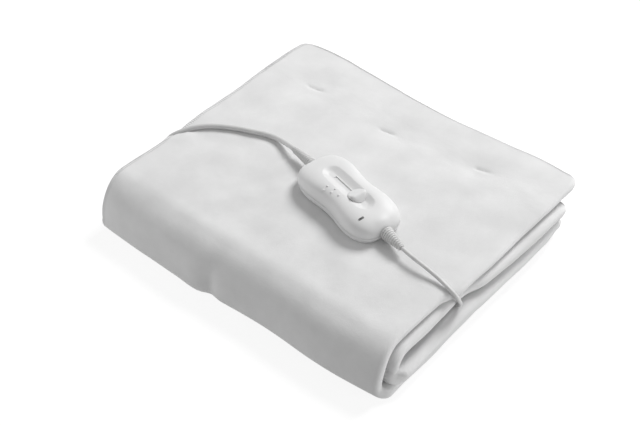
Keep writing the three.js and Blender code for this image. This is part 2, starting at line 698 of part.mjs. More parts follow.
const controller = new THREE.Group();
controller.position.set(CASE_CENTRE.x, CASE_CENTRE.y, STACK_TOP + GAP);
controller.rotation.z = CASE_TURN;
const knob = piece("slide_knob", geometryOf(slideKnob()), caseWhite());
knob.position.x = KNOB_REST_U;
const mainsRelief = piece(
  "mains_relief",
  reliefGeometry(30, MAINS_DIAMETER / 2 + 1.4, { aside: 0.6, down: 1.4 }),
  cordWhite(),
);
mainsRelief.rotation.z = Math.PI;
const leadRelief = piece(
  "lead_relief",
  reliefGeometry(24.6, BLANKET_LEAD_DIAMETER / 2 + 1.9, { aside: 0.6, down: 1.6 }),
  cordWhite(),
);
controller.add(
  piece("controller_base", geometryOf(lowerShell()), caseWhite()),
  piece("controller_top", geometryOf(upperShell()), caseWhite()),
  piece("indicator_lens", geometryOf(indicatorLens()), lensGrey()),
  knob,
  mainsRelief,
  leadRelief,
);

const underblanket = new THREE.Group();
underblanket.position.set(-ORIGIN.x, -ORIGIN.y, 0);
underblanket.add(
  piece("blanket", foldedCloth(), fleeceWhite()),
  controller,
  piece("mains_lead", tubeGeometry(MAINS_ROUTE, MAINS_DIAMETER, 44), cordWhite()),
  piece("mains_hank", geometryOf(hankSolid()), cordWhite()),
  piece("hank_tie", geometryOf(tieStrap(0)), cordWhite()),
  piece("plug_lead", tubeGeometry(TAIL_ROUTE, MAINS_DIAMETER, 8), cordWhite()),
  piece("plug_body", plugBody(), cordWhite()),
  piece("plug_pin_left", pinGeometry(1), pinNickel()),
  piece("plug_pin_right", pinGeometry(-1), pinNickel()),
  piece("blanket_lead", tubeGeometry(LEAD_ROUTE, BLANKET_LEAD_DIAMETER, 46), cordWhite()),
  piece("lead_entry", entryGeometry(), cordWhite()),
);

const part = new THREE.Group();
part.add(underblanket);
export default part;
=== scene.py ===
"""A single electric underblanket, folded for storage, with its slide controller on top.

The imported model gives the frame: metres, X along the folds, Y towards the far edge, Z up.
Sizes measured on the folded stack are counted from its near left foot, and the controller's
from the middle of its foot, so each piece starts from those two places.
"""

import math

import bmesh
import bpy
from mathutils import Matrix, Vector, noise


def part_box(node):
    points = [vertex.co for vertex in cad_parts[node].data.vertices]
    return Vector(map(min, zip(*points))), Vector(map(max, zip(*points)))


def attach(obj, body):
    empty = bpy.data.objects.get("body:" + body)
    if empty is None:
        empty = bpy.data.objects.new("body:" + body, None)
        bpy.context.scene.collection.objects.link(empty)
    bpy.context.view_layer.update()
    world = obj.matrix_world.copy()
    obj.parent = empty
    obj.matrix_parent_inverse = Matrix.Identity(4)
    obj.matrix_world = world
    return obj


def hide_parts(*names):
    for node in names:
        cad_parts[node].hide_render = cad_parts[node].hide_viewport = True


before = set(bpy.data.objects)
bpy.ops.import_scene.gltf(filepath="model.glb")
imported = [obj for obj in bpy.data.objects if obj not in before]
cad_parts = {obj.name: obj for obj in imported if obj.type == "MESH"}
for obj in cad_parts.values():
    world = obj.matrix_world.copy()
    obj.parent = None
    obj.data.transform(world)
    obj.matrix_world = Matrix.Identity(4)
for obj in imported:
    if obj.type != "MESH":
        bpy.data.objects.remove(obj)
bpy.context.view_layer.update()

# ------------ camera
# The stack is seen from above its near right corner, so that the near fold, the round right
# end and the whole top show.


def new_object(name, data):
    made = bpy.data.objects.new(name, data)
    bpy.context.scene.collection.objects.link(made)
    return made


camera = new_object("camera", bpy.data.cameras.new("camera"))
camera.data.lens = 81.9
camera.data.sensor_width = 36
camera.location = (0.69989, -0.86191, 1.07423)
camera.rotation_euler = (math.radians(46.3864), 0, math.radians(40.1404))
bpy.context.scene.camera = camera

# ------------ mains lead
# A round two-core lead in white PVC, 5.6 mm thick and 2.03 m long. It leaves the controller,
# crosses the left edge of the stack, runs along the table and is wound into a tied hank
# behind the stack, where its plug lies.

STACK_FOOT = Vector((-0.1895, -0.1631, 0))  # near left foot of the folded stack
MAINS_DIAMETER = 0.0056
ON_TABLE = MAINS_DIAMETER / 2 + 0.0001  # height of the middle of a lead that lies on the table

HANK_X = 0.116  # middle of the hank
HANK_Y = 0.337
HANK_RUN = 0.109  # straight length between the two round ends
HANK_BEND = 0.0177  # radius of the middle of the cord at the round ends
HANK_LAYER = 0.0057
HANK_LAYERS = 4
HANK_WAIST = 0.0029  # how far the tie lets the two runs lie from the middle
HANK_STEPS = 8  # along each straight run and round each end
TIE_REACH = 0.005  # the runs lie at the waist within this length of the middle
TIE_THICKNESS = 0.0008
TIE_CLEARANCE = 0.0002
PLUG_MIDDLE = 0.00685  # height of the middle of the plug as it lies

RELIEF_TO_TABLE = [
    (0.1243, 0.1674, 0.0653),
    (0.118, 0.1691, 0.0646),
    (0.11, 0.171, 0.0632),
    (0.101, 0.1726, 0.0616),
    (0.088, 0.1728, 0.0602),
    (0.075, 0.1692, 0.06),
    (0.062, 0.1636, 0.06),
    (0.05, 0.1584, 0.06),
    (0.04, 0.1528, 0.06),
    (0.03, 0.1464, 0.06),
    (0.0214, 0.1394, 0.0598),
    (0.014, 0.1318, 0.059),
    (0.0076, 0.1238, 0.0569),
    (0.0012, 0.116, 0.0541),
    (-0.005, 0.1092, 0.0478),
    (-0.0074, 0.1048, 0.038),
    (-0.0088, 0.1034, 0.0276),
    (-0.01, 0.1054, 0.0178),
    (-0.0112, 0.1112, 0.0096),
    (-0.0126, 0.121, 0.0046),
    (-0.014, 0.133, 0.0031),
]
ALONG_TABLE = [
    (-0.0156, 0.15),
    (-0.0164, 0.176),
    (-0.016, 0.206),
    (-0.0154, 0.236),
    (-0.015, 0.264),
    (-0.0138, 0.286),
    (-0.009, 0.303),
    (0.003, 0.3154),
    (0.02, HANK_Y - HANK_BEND),
    (0.0391, HANK_Y - HANK_BEND),
    (0.0471, HANK_Y - HANK_BEND),
]
HANK_TO_PLUG = [
    (0.1849, HANK_Y - HANK_BEND, ON_TABLE + HANK_LAYERS * HANK_LAYER),
    (0.1909, HANK_Y - HANK_BEND, ON_TABLE + HANK_LAYERS * HANK_LAYER - 0.0006),
    (0.199, 0.3208, 0.0216),
    (0.208, 0.3238, 0.0144),
    (0.218, 0.3282, 0.0074),
    (0.23, 0.333, 0.004),
    (0.241, 0.336, 0.005),
    (0.2517, 0.337, PLUG_MIDDLE),
    (0.2567, 0.337, PLUG_MIDDLE),
]


def smooth(t):
    return t * t * (3 - 2 * t)


def share(value, start, end):
    """How far value is on the way from start to end, from 0 to 1."""
    return min(1, max(0, (value - start) / (end - start)))


def hank_run(side, layer):
    """One straight run: the tie draws it in to the middle of the hank and lifts it a little."""
    points = []
    for step in range(HANK_STEPS + 1):
        x = HANK_RUN * (step / HANK_STEPS - 0.5)
        spread = smooth(share(abs(x), TIE_REACH, HANK_RUN / 2))
        y = HANK_WAIST + (HANK_BEND - HANK_WAIST) * spread
        lift = (TIE_THICKNESS + TIE_CLEARANCE) * (1 - spread)
        points.append((HANK_X + x, HANK_Y + side * y, ON_TABLE + layer * HANK_LAYER + lift))
    return points if side < 0 else points[::-1]


def hank_bend(end, layer, climb):
    """One round end. The cord climbs to the next layer on the left one."""
    points = []
    for step in range(1, HANK_STEPS):
        turn = math.pi * (step / HANK_STEPS - 0.5)
        x = HANK_X + end * (HANK_RUN / 2 + HANK_BEND * math.cos(turn))
        y = HANK_Y + end * HANK_BEND * math.sin(turn)
        height = layer + climb * smooth(step / HANK_STEPS)
        points.append((x, y, ON_TABLE + height * HANK_LAYER))
    return points


def wound_hank():
    points = []
    for layer in range(HANK_LAYERS):
        points += hank_run(-1, layer) + hank_bend(1, layer, 0)
        points += hank_run(1, layer) + hank_bend(-1, layer, 1)
    return points + hank_run(-1, HANK_LAYERS)


def cord_piece(name, points, diameter, *replaced):
    """A round cord through points counted from the foot of the stack."""
    curve = bpy.data.curves.new(name, "CURVE")
    curve.dimensions = "3D"
    curve.bevel_depth = diameter / 2
    curve.bevel_resolution = 5
    curve.resolution_u = 5
    curve.use_fill_caps = True
    spline = curve.splines.new("BEZIER")
    spline.bezier_points.add(len(points) - 1)
    for knot, point in zip(spline.bezier_points, points):
        knot.co = Vector(point) + STACK_FOOT
        knot.handle_left_type = "AUTO"
        knot.handle_right_type = "AUTO"
    curve.materials.append(CORD_VINYL)
    cord = new_object(name, curve)
    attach(cord, "stack")
    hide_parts(*replaced)
    return cord


def grey(level):
    return (level, level, level)


def set_inputs(node, values):
    for name, value in values.items():
        node.inputs[name].default_value = value


def new_finish(name, color, roughness):
    """A material with its shader's base colour and roughness set, and its node tree."""
    material = bpy.data.materials.new(name)
    material.use_nodes = True
    shader = material.node_tree.nodes["Principled BSDF"]
    set_inputs(shader, {"Base Color": (*color, 1), "Roughness": roughness})
    return material, material.node_tree, shader


def noise_node(tree, vector, scale, detail, roughness=0.5):
    texture = tree.nodes.new("ShaderNodeTexNoise")
    set_inputs(texture, {"Scale": scale, "Detail": detail, "Roughness": roughness})
    tree.links.new(vector, texture.inputs["Vector"])
    return texture.outputs["Fac"]


def tinted(tree, shader, factor, low, high, low_at, high_at):
    """The colour goes from low to high as the factor goes from low_at to high_at."""
    ramp = tree.nodes.new("ShaderNodeValToRGB")
    for stop, color, place in zip(ramp.color_ramp.elements, (low, high), (low_at, high_at)):
        stop.color = (*color, 1)
        stop.position = place
    tree.links.new(factor, ramp.inputs["Fac"])
    tree.links.new(ramp.outputs["Color"], shader.inputs["Base Color"])


def embossed(tree, shader, height, strength, distance):
    """Lays a bump of a height map over the bump that the shader has already, if any."""
    bump = tree.nodes.new("ShaderNodeBump")
    set_inputs(bump, {"Strength": strength, "Distance": distance})
    tree.links.new(height, bump.inputs["Height"])
    for link in shader.inputs["Normal"].links:
        tree.links.new(link.from_socket, bump.inputs["Normal"])
    tree.links.new(bump.outputs["Normal"], shader.inputs["Normal"])


def object_coordinates(tree):
    return tree.nodes.new("ShaderNodeTexCoord").outputs["Object"]


def cord_vinyl():
    """Soft white PVC with a faint orange-peel skin and slight greying where it is handled, coloured
    mid grey all over as painted shade of the side away from the light.
    """
    # Painted shade: the base colour is mid grey, not white, for the shade on the cords' side away
    # from the light.
    material, tree, shader = new_finish("cord_vinyl", grey(0.6), 0.42)
    place = object_coordinates(tree)
    painted_shade_and_greying = noise_node(tree, place, 45, 3)
    # Painted shade: the tint stays mid grey throughout, and the noise adds only slight random
    # greying.
    tinted(tree, shader, painted_shade_and_greying, grey(0.56), (0.64, 0.64, 0.635), 0.35, 0.65)
    embossed(tree, shader, noise_node(tree, place, 2200, 2), 0.12, 0.0002)
    set_inputs(shader, {"Specular IOR Level": 0.45})
    return material


CORD_VINYL = cord_vinyl()
along_table = [(x, y, ON_TABLE) for x, y in ALONG_TABLE]
mains_points = RELIEF_TO_TABLE + along_table + wound_hank() + HANK_TO_PLUG
mains_nodes = ("mains_lead", "mains_hank", "plug_lead")
mains_cord = cord_piece("mains_cord", mains_points, MAINS_DIAMETER, *mains_nodes)

# ------------ hank tie
# A thin white plastic strap, closed round the waist of the hank, that keeps the put-away
# length of the lead together.

TIE_CORNER = 0.0028


def mesh_object(name, shape, finish):
    mesh = bpy.data.meshes.new(name)
    shape.to_mesh(mesh)
    shape.free()
    mesh.materials.append(finish)
    return new_object(name, mesh)


def mesh_piece(name, shape, finish, slot, *replaced, body="stack"):
    """Makes the object of a finished bmesh and says what it rides on and stands for."""
    piece = mesh_object(name, shape, finish)
    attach(piece, body)
    if replaced:
        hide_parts(*replaced)
    return piece


def shade_smooth(shape, sharp_above=180):
    """Smooth shading, with the edges that turn by more than an angle in degrees kept sharp."""
    limit = math.radians(sharp_above)
    for face in shape.faces:
        face.smooth = True
    for edge in shape.edges:
        if edge.is_manifold and edge.calc_face_angle() > limit:
            edge.smooth = False


def box_shape(low, high):
    """A bmesh box between two corners."""
    shape = bmesh.new()
    bmesh.ops.create_cube(shape, size=1)
    size = Vector(high) - Vector(low)
    bmesh.ops.scale(shape, vec=size, verts=shape.verts)
    bmesh.ops.translate(shape, vec=(Vector(high) + Vector(low)) / 2, verts=shape.verts)
    return shape


def rounded(shape, edges, radius, segments):
    bmesh.ops.bevel(
        shape,
        geom=edges,
        offset=radius,
        offset_type="OFFSET",
        affect="EDGES",
        segments=segments,
        profile=0.5,
        material=-1,
    )


def face_outwards(shape):
    bmesh.ops.recalc_face_normals(shape, faces=shape.faces)


def edges_along(shape, axis):
    """The edges of a box that run along one of its axes: 0, 1 or 2."""
    chosen = []
    for edge in shape.edges:
        way = edge.verts[1].co - edge.verts[0].co
        if abs(way[axis]) > 0.99 * way.length:
            chosen.append(edge)
    return chosen


def moulded_vinyl(name, base, grain):
    """Matt moulded vinyl with a fine grain."""
    material, tree, shader = new_finish(name, base, 0.48)
    place = object_coordinates(tree)
    low = tuple(0.95 * part for part in base)
    tinted(tree, shader, noise_node(tree, place, 60, 3), low, base, 0.35, 0.6)
    embossed(tree, shader, noise_node(tree, place, grain, 3), 0.2, 0.0002)
    return material


def tie_strap():
    """A box open at both ends, with round corners, given the strap's thickness inwards."""
    shape = box_shape(*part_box("hank_tie"))
    rounded(shape, edges_along(shape, 0), TIE_CORNER, 5)
    ends = [face for face in shape.faces if abs(face.normal.x) > 0.9]
    bmesh.ops.delete(shape, geom=ends, context="FACES_ONLY")
    bmesh.ops.solidify(shape, geom=shape.faces, thickness=TIE_THICKNESS)
    face_outwards(shape)
    shade_smooth(shape, 40)
    return shape


tie_plastic = moulded_vinyl("tie_plastic", (0.7, 0.7, 0.69), 900)
hank_band = mesh_piece("hank_band", tie_strap(), tie_plastic, "tie_plastic", "hank_tie")

# ------------ mains plug
# A flat two-pin plug moulded in white plastic onto the end of the mains lead: a waisted body
# with a ribbed nose for the lead, and two nickel-plated pins in insulating sleeves.

PLUG_EDGE = 0.0022  # rounding of the body's rims
PLUG_STATIONS = 40
PLUG_CORNER = 0.006  # rounding of the outline at the pin face
NOSE_HALF_WIDTH = 0.0046
NOSE_FLARE = 0.0022
NOSE_FLATTENING = 0.2
NOSE_RIBS = 5
RIB_DEPTH = 0.0005
GRIP_HOLLOW = 0.14
# Places along the plug, as shares of its length from the nose.
SHOULDER_START = 0.36
SHOULDER_END = 0.68
RIBS_LENGTH = 0.4
RIBS_FADE = 0.26
RIBS_END = 0.42
GRIP_MIDDLE = 0.62
GRIP_REACH = 0.16
CORNER_START = 0.93
PIN_RADIUS = 0.002
PIN_SLEEVE = 0.45  # share of a pin that its sleeve covers
SLEEVE_STEP = 0.00025
PIN_DOME = 0.0012
PIN_TIP_RADIUS = 0.0012


def bell(distance, width):
    return math.exp(-((distance / width) ** 2))


def plug_half_width(along, width):
    """Half the body's width at a share of its length from the nose to the pin face."""
    shoulder = smooth(share(along, SHOULDER_START, SHOULDER_END))
    nose = NOSE_HALF_WIDTH + NOSE_FLARE * share(along, 0, SHOULDER_START)
    corner = PLUG_CORNER * share(along, CORNER_START, 1) ** 2
    return nose + (width / 2 - nose) * shoulder - corner


def press_grip(vert, low, high):
    """The nose is ribbed and nearly round, and the grip has a shallow hollow on both faces."""
    along = share(vert.co.x, low[0], high[0])
    middle = (low[2] + high[2]) / 2
    on_nose = 1 - smooth(share(along, RIBS_FADE, RIBS_END))
    rib = RIB_DEPTH * on_nose * math.cos(math.tau * NOSE_RIBS * along / RIBS_LENGTH)
    flat = 1 - NOSE_FLATTENING * on_nose - GRIP_HOLLOW * bell(along - GRIP_MIDDLE, GRIP_REACH)
    vert.co.z = middle + (vert.co.z - middle) * flat
    vert.co.y += rib if vert.co.y > (low[1] + high[1]) / 2 else -rib


def plug_shape():
    """A flat outline drawn along the plug, extruded to its thickness and rounded."""
    low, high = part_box("plug_body")
    middle = (low[1] + high[1]) / 2
    shape = bmesh.new()
    rim = []
    for side in (-1, 1):
        for step in range(PLUG_STATIONS + 1):
            along = step / PLUG_STATIONS if side < 0 else 1 - step / PLUG_STATIONS
            half = plug_half_width(along, high[1] - low[1])
            x = low[0] + (high[0] - low[0]) * along
            rim.append(shape.verts.new((x, middle + side * half, low[2])))
    base = shape.faces.new(rim)
    made = bmesh.ops.extrude_face_region(shape, geom=[base])
    top = [item for item in made["geom"] if isinstance(item, bmesh.types.BMVert)]
    bmesh.ops.translate(shape, vec=(0, 0, high[2] - low[2]), verts=top)
    face_outwards(shape)
    rims = [edge for edge in shape.edges if abs(edge.verts[0].co.z - edge.verts[1].co.z) < 1e-6]
    rounded(shape, rims, PLUG_EDGE, 4)
    for vert in shape.verts:
        press_grip(vert, low, high)
    shade_smooth(shape, 50)
    return shape


def turned(profile, foot, steps):
    """A closed shape turned about a line along X from a profile of (along, radius) pairs."""
    shape = bmesh.new()
    line = [shape.verts.new((along, radius, 0)) for along, radius in profile]
    edges = [shape.edges.new(pair) for pair in zip(line, line[1:])]
    bmesh.ops.spin(
        shape,
        geom=line + edges,
        cent=(0, 0, 0),
        axis=(1, 0, 0),
        dvec=(0, 0, 0),
        angle=math.tau,
        steps=steps,
        use_merge=True,
    )
    bmesh.ops.remove_doubles(shape, verts=shape.verts, dist=1e-6)
    face_outwards(shape)
    bmesh.ops.translate(shape, vec=foot, verts=shape.verts)
    return shape


def pin_shape(node):
    """A round pin with a domed tip, thicker over its sleeve."""
    low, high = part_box(node)
    length = high[0] - low[0]
    sleeve = length * PIN_SLEEVE
    bare = PIN_RADIUS - SLEEVE_STEP
    profile = [
        (0, 0),
        (0, PIN_RADIUS),
        (sleeve, PIN_RADIUS),
        (sleeve + 0.0001, bare),
        (length - PIN_DOME, bare),
        (length - PIN_DOME / 3, PIN_TIP_RADIUS),
        (length, 0),
    ]
    foot = Vector((low[0], (low[1] + high[1]) / 2, (low[2] + high[2]) / 2))
    shape = turned(profile, foot, 24)
    shade_smooth(shape, 45)
    return shape


def math_node(tree, operation, value, number=0):
    """A math node on a value and a plain number."""
    node = tree.nodes.new("ShaderNodeMath")
    node.operation = operation
    node.inputs[1].default_value = number
    tree.links.new(value, node.inputs[0])
    return node


def sleeved_nickel(edge):
    """White insulating sleeve up to a place along X, bright nickel past it."""
    material, tree, shader = new_finish("pin_metal", grey(0.72), 0.24)
    apart = tree.nodes.new("ShaderNodeSeparateXYZ")
    tree.links.new(object_coordinates(tree), apart.inputs["Vector"])
    bare = math_node(tree, "GREATER_THAN", apart.outputs["X"], edge).outputs["Value"]
    tinted(tree, shader, bare, (0.72, 0.72, 0.71), (0.7, 0.69, 0.67), 0.4, 0.6)
    tree.links.new(bare, shader.inputs["Metallic"])
    scratches = noise_node(tree, object_coordinates(tree), 1400, 4)
    embossed(tree, shader, scratches, 0.08, 0.0001)
    return material


plug_plastic = moulded_vinyl("plug_plastic", (0.76, 0.76, 0.75), 1500)
mains_plug = mesh_piece("mains_plug", plug_shape(), plug_plastic, "plug_plastic", "plug_body")
pin_low, pin_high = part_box("plug_pin_left")
pin_metal = sleeved_nickel(pin_low[0] + (pin_high[0] - pin_low[0]) * PIN_SLEEVE)
for side in ("left", "right"):
    node = f"plug_pin_{side}"
    pin = mesh_piece(f"plug_{side}_pin", pin_shape(node), pin_metal, "pin_metal", node)

# ------------ blanket lead
# The thinner lead from the controller to the heating wire, 4.2 mm thick. It bends over the
# right end of the stack into the hollow between the inner plies, where a moulded entry is
# sewn to the cloth.

LEAD_DIAMETER = 0.0042
HOLLOW_MIDDLE = 0.02795  # height at which the lead lies in the hollow
ENTRY_CORNER = 0.0055
ENTRY_RIM = 0.0012
ENTRY_PANEL = 0.0005  # depth of the panel inside the rim
ENTRY_SLOPE = 0.0004
ENTRY_NECK = 0.008  # length over which the tab narrows to the lead
ENTRY_NARROWING = 0.55
CONTROLLER_TO_MOUTH = [
    (0.3002, 0.1245, 0.0651),
    (0.3065, 0.1232, 0.0649),
    (0.313, 0.1222, 0.0645),
    (0.321, 0.1213, 0.0639),
    (0.331, 0.1203, 0.0631),
    (0.341, 0.1192, 0.0621),
    (0.352, 0.1176, 0.061),
    (0.361, 0.1158, 0.0599),
    (0.3674, 0.1146, 0.0586),
    (0.3724, 0.1146, 0.0558),
    (0.3756, 0.1158, 0.0514),
    (0.3766, 0.1178, 0.0464),
    (0.3758, 0.1202, 0.0412),
    (0.3729, 0.1223, 0.036),
    (0.3666, 0.1245, 0.0328),
    (0.358, 0.1264, 0.0323),
    (0.344, 0.1274, 0.0307),
    (0.326, 0.1264, 0.0286),
]
IN_HOLLOW = [
    (0.306, 0.1234),
    (0.284, 0.1206),
    (0.264, 0.1214),
    (0.247, 0.1286),
    (0.237, 0.141),
    (0.234, 0.156),
    (0.2354, 0.172),
    (0.2315, 0.1824),
    (0.224, 0.186),
    (0.2203, 0.186),
]


def entry_shape():
    """A flat moulded tab that narrows to the lead, with a raised sewing rim."""
    low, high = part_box("lead_entry")
    shape = box_shape(low, high)
    rounded(shape, edges_along(shape, 2), ENTRY_CORNER, 8)
    faces = [face for face in shape.faces if abs(face.normal.z) > 0.9]
    bmesh.ops.inset_region(shape, faces=faces, thickness=ENTRY_RIM, depth=0)
    bmesh.ops.inset_region(shape, faces=faces, thickness=ENTRY_SLOPE, depth=-ENTRY_PANEL)
    face_outwards(shape)
    middle = (low[1] + high[1]) / 2
    for vert in shape.verts:
        near_lead = smooth(share(vert.co.x, high[0] - ENTRY_NECK, high[0]))
        narrow = 1 - ENTRY_NARROWING * near_lead
        vert.co.y = middle + (vert.co.y - middle) * narrow
    shade_smooth(shape, 35)
    return shape


RELIEF_VINYL = moulded_vinyl("relief_vinyl", (0.66, 0.66, 0.655), 1800)
lead_points = CONTROLLER_TO_MOUTH + [(x, y, HOLLOW_MIDDLE) for x, y in IN_HOLLOW]
blanket_cord = cord_piece("blanket_cord", lead_points, LEAD_DIAMETER, "blanket_lead")
cord_entry = mesh_piece("cord_entry", entry_shape(), RELIEF_VINYL, "relief_vinyl", "lead_entry")

# ------------ folded cloth
# One sheet of brushed polyester fleece, 5 mm thick over its heating wire. It is folded in
# half across its width, so every ply is two layers with a round end at the right and the
# hems at the left, and then twice along its length. The cover ply lies over the other three.

CLOTH_LAYER = 0.005
SHEET_WIDTH = 0.75
SHEET_LENGTH = 1.2
STACK_TOP = 0.0568
STACK_DEPTH = 0.328
STACK_RIGHT = 0.37
COVER_UNDERSIDE = STACK_TOP - 0.011

# Sections of the double ply from the free edge of the cover ply to the free edge of the
# inner one: the middle of the ply, its thickness, X of its round end and the length of that
# round, and X of its upper and under hem. The way to a section is straight, or a quarter
# turn that starts level or upright.
COLUMNS = ("way", "y", "z", "ply", "crest", "round", "hem", "under", "steps")
SECTIONS = [
    ("start", STACK_DEPTH, 0.0512, 0.011, 0.366, 0.009, 0.02, 0.025, 0),
    ("run", 0.3266, 0.0512, 0.011, 0.37, 0.009, 0.01, 0.015, 1),
    ("run", 0.3236, 0.0512, 0.011, 0.3726, 0.01, 0.0045, 0.0095, 1),
    ("run", 0.318, 0.0512, 0.011, 0.3738, 0.01, 0.0016, 0.0066, 2),
    ("run", 0.31, 0.0512, 0.011, 0.374, 0.01, 0.0006, 0.0056, 2),
    ("run", 0.29, 0.0512, 0.011, 0.374, 0.011, 0, 0.005, 8),
    ("run", 0.255, 0.0512, 0.011, 0.374, 0.011, 0, 0.005, 20),
    ("run", 0.128, 0.0513, 0.011, 0.374, 0.011, 0, 0.005, 32),
    ("run", 0.098, 0.0513, 0.011, 0.366, 0.009, 0, 0.004, 9),
    ("run", 0.038, 0.0513, 0.011, 0.365, 0.008, -0.002, 0.004, 18),
    ("level", 0.0055, 0.013, 0.011, 0.37, 0.006, 0.0015, 0.005, 22),
    ("upright", 0.013, 0.0055, 0.011, 0.378, 0.007, 0.009, 0.011, 8),
    ("run", 0.04, 0.0055, 0.011, 0.3775, 0.007, 0.005, 0.008, 5),
    ("run", 0.292, 0.0055, 0.011, 0.371, 0.007, 0.004, 0.008, 26),
    ("level", 0.2994, 0.0128, 0.0115, 0.375, 0.008, 0.003, 0.006, 6),
    ("upright", 0.291, 0.0201, 0.0125, 0.379, 0.009, 0.002, 0.005, 6),
    ("run", 0.264, 0.0194, 0.015, 0.382, 0.01, 0.005, 0.002, 6),
    ("run", 0.215, 0.0192, 0.0148, 0.382, 0.01, 0.005, 0.002, 8),
    ("run", 0.122, 0.0192, 0.0148, 0.382, 0.01, 0.006, 0.002, 14),
    ("run", 0.08, 0.0188, 0.0138, 0.382, 0.01, 0.006, 0.002, 8),
    ("run", 0.032, 0.0178, 0.013, 0.3835, 0.01, 0.006, 0.003, 9),
    ("level", 0.0242, 0.0235, 0.0112, 0.3745, 0.007, 0.007, 0.003, 12),
    ("upright", 0.045, 0.038, 0.0125, 0.371, 0.007, 0.006, 0.002, 9),
    ("run", 0.08, 0.0379, 0.0146, 0.372, 0.007, 0.005, 0.002, 8),
    ("run", 0.13, 0.0379, 0.0146, 0.3718, 0.007, 0.005, 0.002, 11),
    ("run", 0.165, 0.0377, 0.015, 0.378, 0.008, 0.005, 0.002, 7),
    ("run", 0.215, 0.0376, 0.0152, 0.38, 0.008, 0.005, 0.001, 9),
    ("run", 0.26, 0.0375, 0.0154, 0.3815, 0.009, 0.005, 0.001, 8),
    ("run", 0.292, 0.0372, 0.0146, 0.3815, 0.009, 0.004, 0.002, 7),
    ("run", 0.299, 0.0364, 0.013, 0.3805, 0.009, 0.005, 0.004, 3),
    ("run", 0.303, 0.0356, 0.0114, 0.377, 0.008, 0.01, 0.009, 2),
]
OUTER_STEPS = 92
CREST_STEPS = 8
CREST_POWER = 0.75  # below 1, the crest is squarer than a half round
INNER_STEPS = 48
TACK_START = 0.067
TACK_SPACING = 0.11
TACK_CROWDING = 0.6


def section_between(before, after, t):
    """A section on the way between two rows of the table, with its direction."""
    rise, level = math.sin(t * math.pi / 2), math.cos(t * math.pi / 2)
    dy, dz = after["y"] - before["y"], after["z"] - before["z"]
    go_y, go_z, head_y, head_z = {
        "run": (t, t, 1, 1),
        "level": (rise, 1 - level, level, rise),
        "upright": (1 - level, rise, rise, level),
    }[after["way"]]
    ahead = Vector((dy * head_y, dz * head_z)).normalized()
    section = {"y": before["y"] + dy * go_y, "z": before["z"] + dz * go_z}
    section["normal_y"], section["normal_z"] = ahead.y, -ahead.x
    for column in ("ply", "crest", "round", "hem", "under"):
        section[column] = before[column] + (after[column] - before[column]) * smooth(t)
    return section


def all_sections():
    rows = [dict(zip(COLUMNS, row)) for row in SECTIONS]
    rows[0].update(normal_y=0, normal_z=1)
    sections = [rows[0]]
    for before, after in zip(rows, rows[1:]):
        for step in range(1, after["steps"] + 1):
            sections.append(section_between(before, after, step / after["steps"]))
    return sections


def crowded(column):
    """A column number of the outer layer, moved so that the columns crowd at the tacks."""
    left, here, right = (
        math.sin((x - TACK_START) / TACK_SPACING * math.tau)
        for x in (0, column / OUTER_STEPS * STACK_RIGHT, STACK_RIGHT)
    )
    shift = TACK_CROWDING * (here - left - (right - left) * column / OUTER_STEPS)
    return column - shift * TACK_SPACING / math.tau / STACK_RIGHT * OUTER_STEPS


def across_ply(section, column):
    """X and distance from the middle of the ply at one of the columns across the cloth."""
    off = section["ply"] / 2 - CLOTH_LAYER / 2
    face_end = section["crest"] - section["round"]
    reach = section["round"] - CLOTH_LAYER / 2
    if column <= OUTER_STEPS:
        return section["hem"] + (face_end - section["hem"]) * column / OUTER_STEPS, off
    if column < OUTER_STEPS + CREST_STEPS:
        turn = math.pi * (column - OUTER_STEPS) / CREST_STEPS
        level = math.copysign(abs(math.cos(turn)) ** CREST_POWER, math.cos(turn))
        return face_end + reach * math.sin(turn) ** CREST_POWER, off * level
    back = (column - OUTER_STEPS - CREST_STEPS) / INNER_STEPS
    return face_end + (section["under"] - face_end) * back, -off


NEAR_REACH = 0.026  # the near fold's round starts this far from the foot
NEAR_FULL = 0.012
FOLD_SWELL = 0.0035
SWELL_POWERS = (8, 4)  # how late the swell falls off towards its left and its right end
FOLD_WAVE = 0.0015
WAVE_CREST = 0.12
WAVE_LENGTH = 0.19
FOOT_SAG = 0.0012
LEFT_FOOT_SAG = 0.0028
LEFT_OF = (0.23, 0.12)  # the left sag sets in at the first X and is full at the second
FADE_LOW = 0.016  # what is in the top fades out downwards between these two heights
FADE_HIGH = 0.05
CREASE_X = 0.157
CREASE_DEPTH = 0.003
CREASE_WIDTH = 0.009
RIDGE_X = 0.135  # a low ridge beside the crease
RIDGE_SHARE = 0.6
RIDGE_WIDTH = 0.013
CORNER_PUSH = 0.0062  # sets in at the first Y and Z and is full at the second
CORNER_Y = (0.045, 0.035)
CORNER_Z = (0.034, 0.027)
EDGE_REACH = 0.06
EDGE_WAVE = 0.004
EDGE_CREST = 0.345
EDGE_LENGTH = 0.285
EDGE_BACK = 0.001
DENT_Y = 0.114  # where the mains lead crosses the left edge
DENT_SLOPE = 1.25
DENT_DEPTH = 0.0066
DENT_GROOVES = ((0.75, 0.0075), (0.25, 0.02))  # shares of the depth and half widths
DENT_REACH = 0.018
MOUTH_X = (0.32, 0.372)
MOUTH_Y = 0.122
MOUTH_REACH = 0.034
MOUTH_LIFT = 0.006
MOUTH_FLOOR = (0.012, 0.0253)  # the plies are lifted from the first height to the second
MOUTH_ROOF = (0.0452, 0.0306)


def near_fold_swell(x):
    """How far the near fold stands out at x: in waves, but for its left end."""
    span = 1 - abs(2 * x / STACK_RIGHT - 1) ** SWELL_POWERS[x >= STACK_RIGHT / 2]
    waves = x > WAVE_CREST - WAVE_LENGTH / 4
    wave = math.cos((x - WAVE_CREST) / WAVE_LENGTH * math.tau) if waves else 0
    return FOLD_SWELL * span + FOLD_WAVE * wave


def near_fold_crease(x, z):
    """How deep the upright crease in the near fold is, with its ridge, fading out upwards."""
    ridge = RIDGE_SHARE * bell(x - RIDGE_X, RIDGE_WIDTH)
    low = share(z, FADE_HIGH, FADE_LOW)
    return CREASE_DEPTH * low * (bell(x - CREASE_X, CREASE_WIDTH) - ridge)


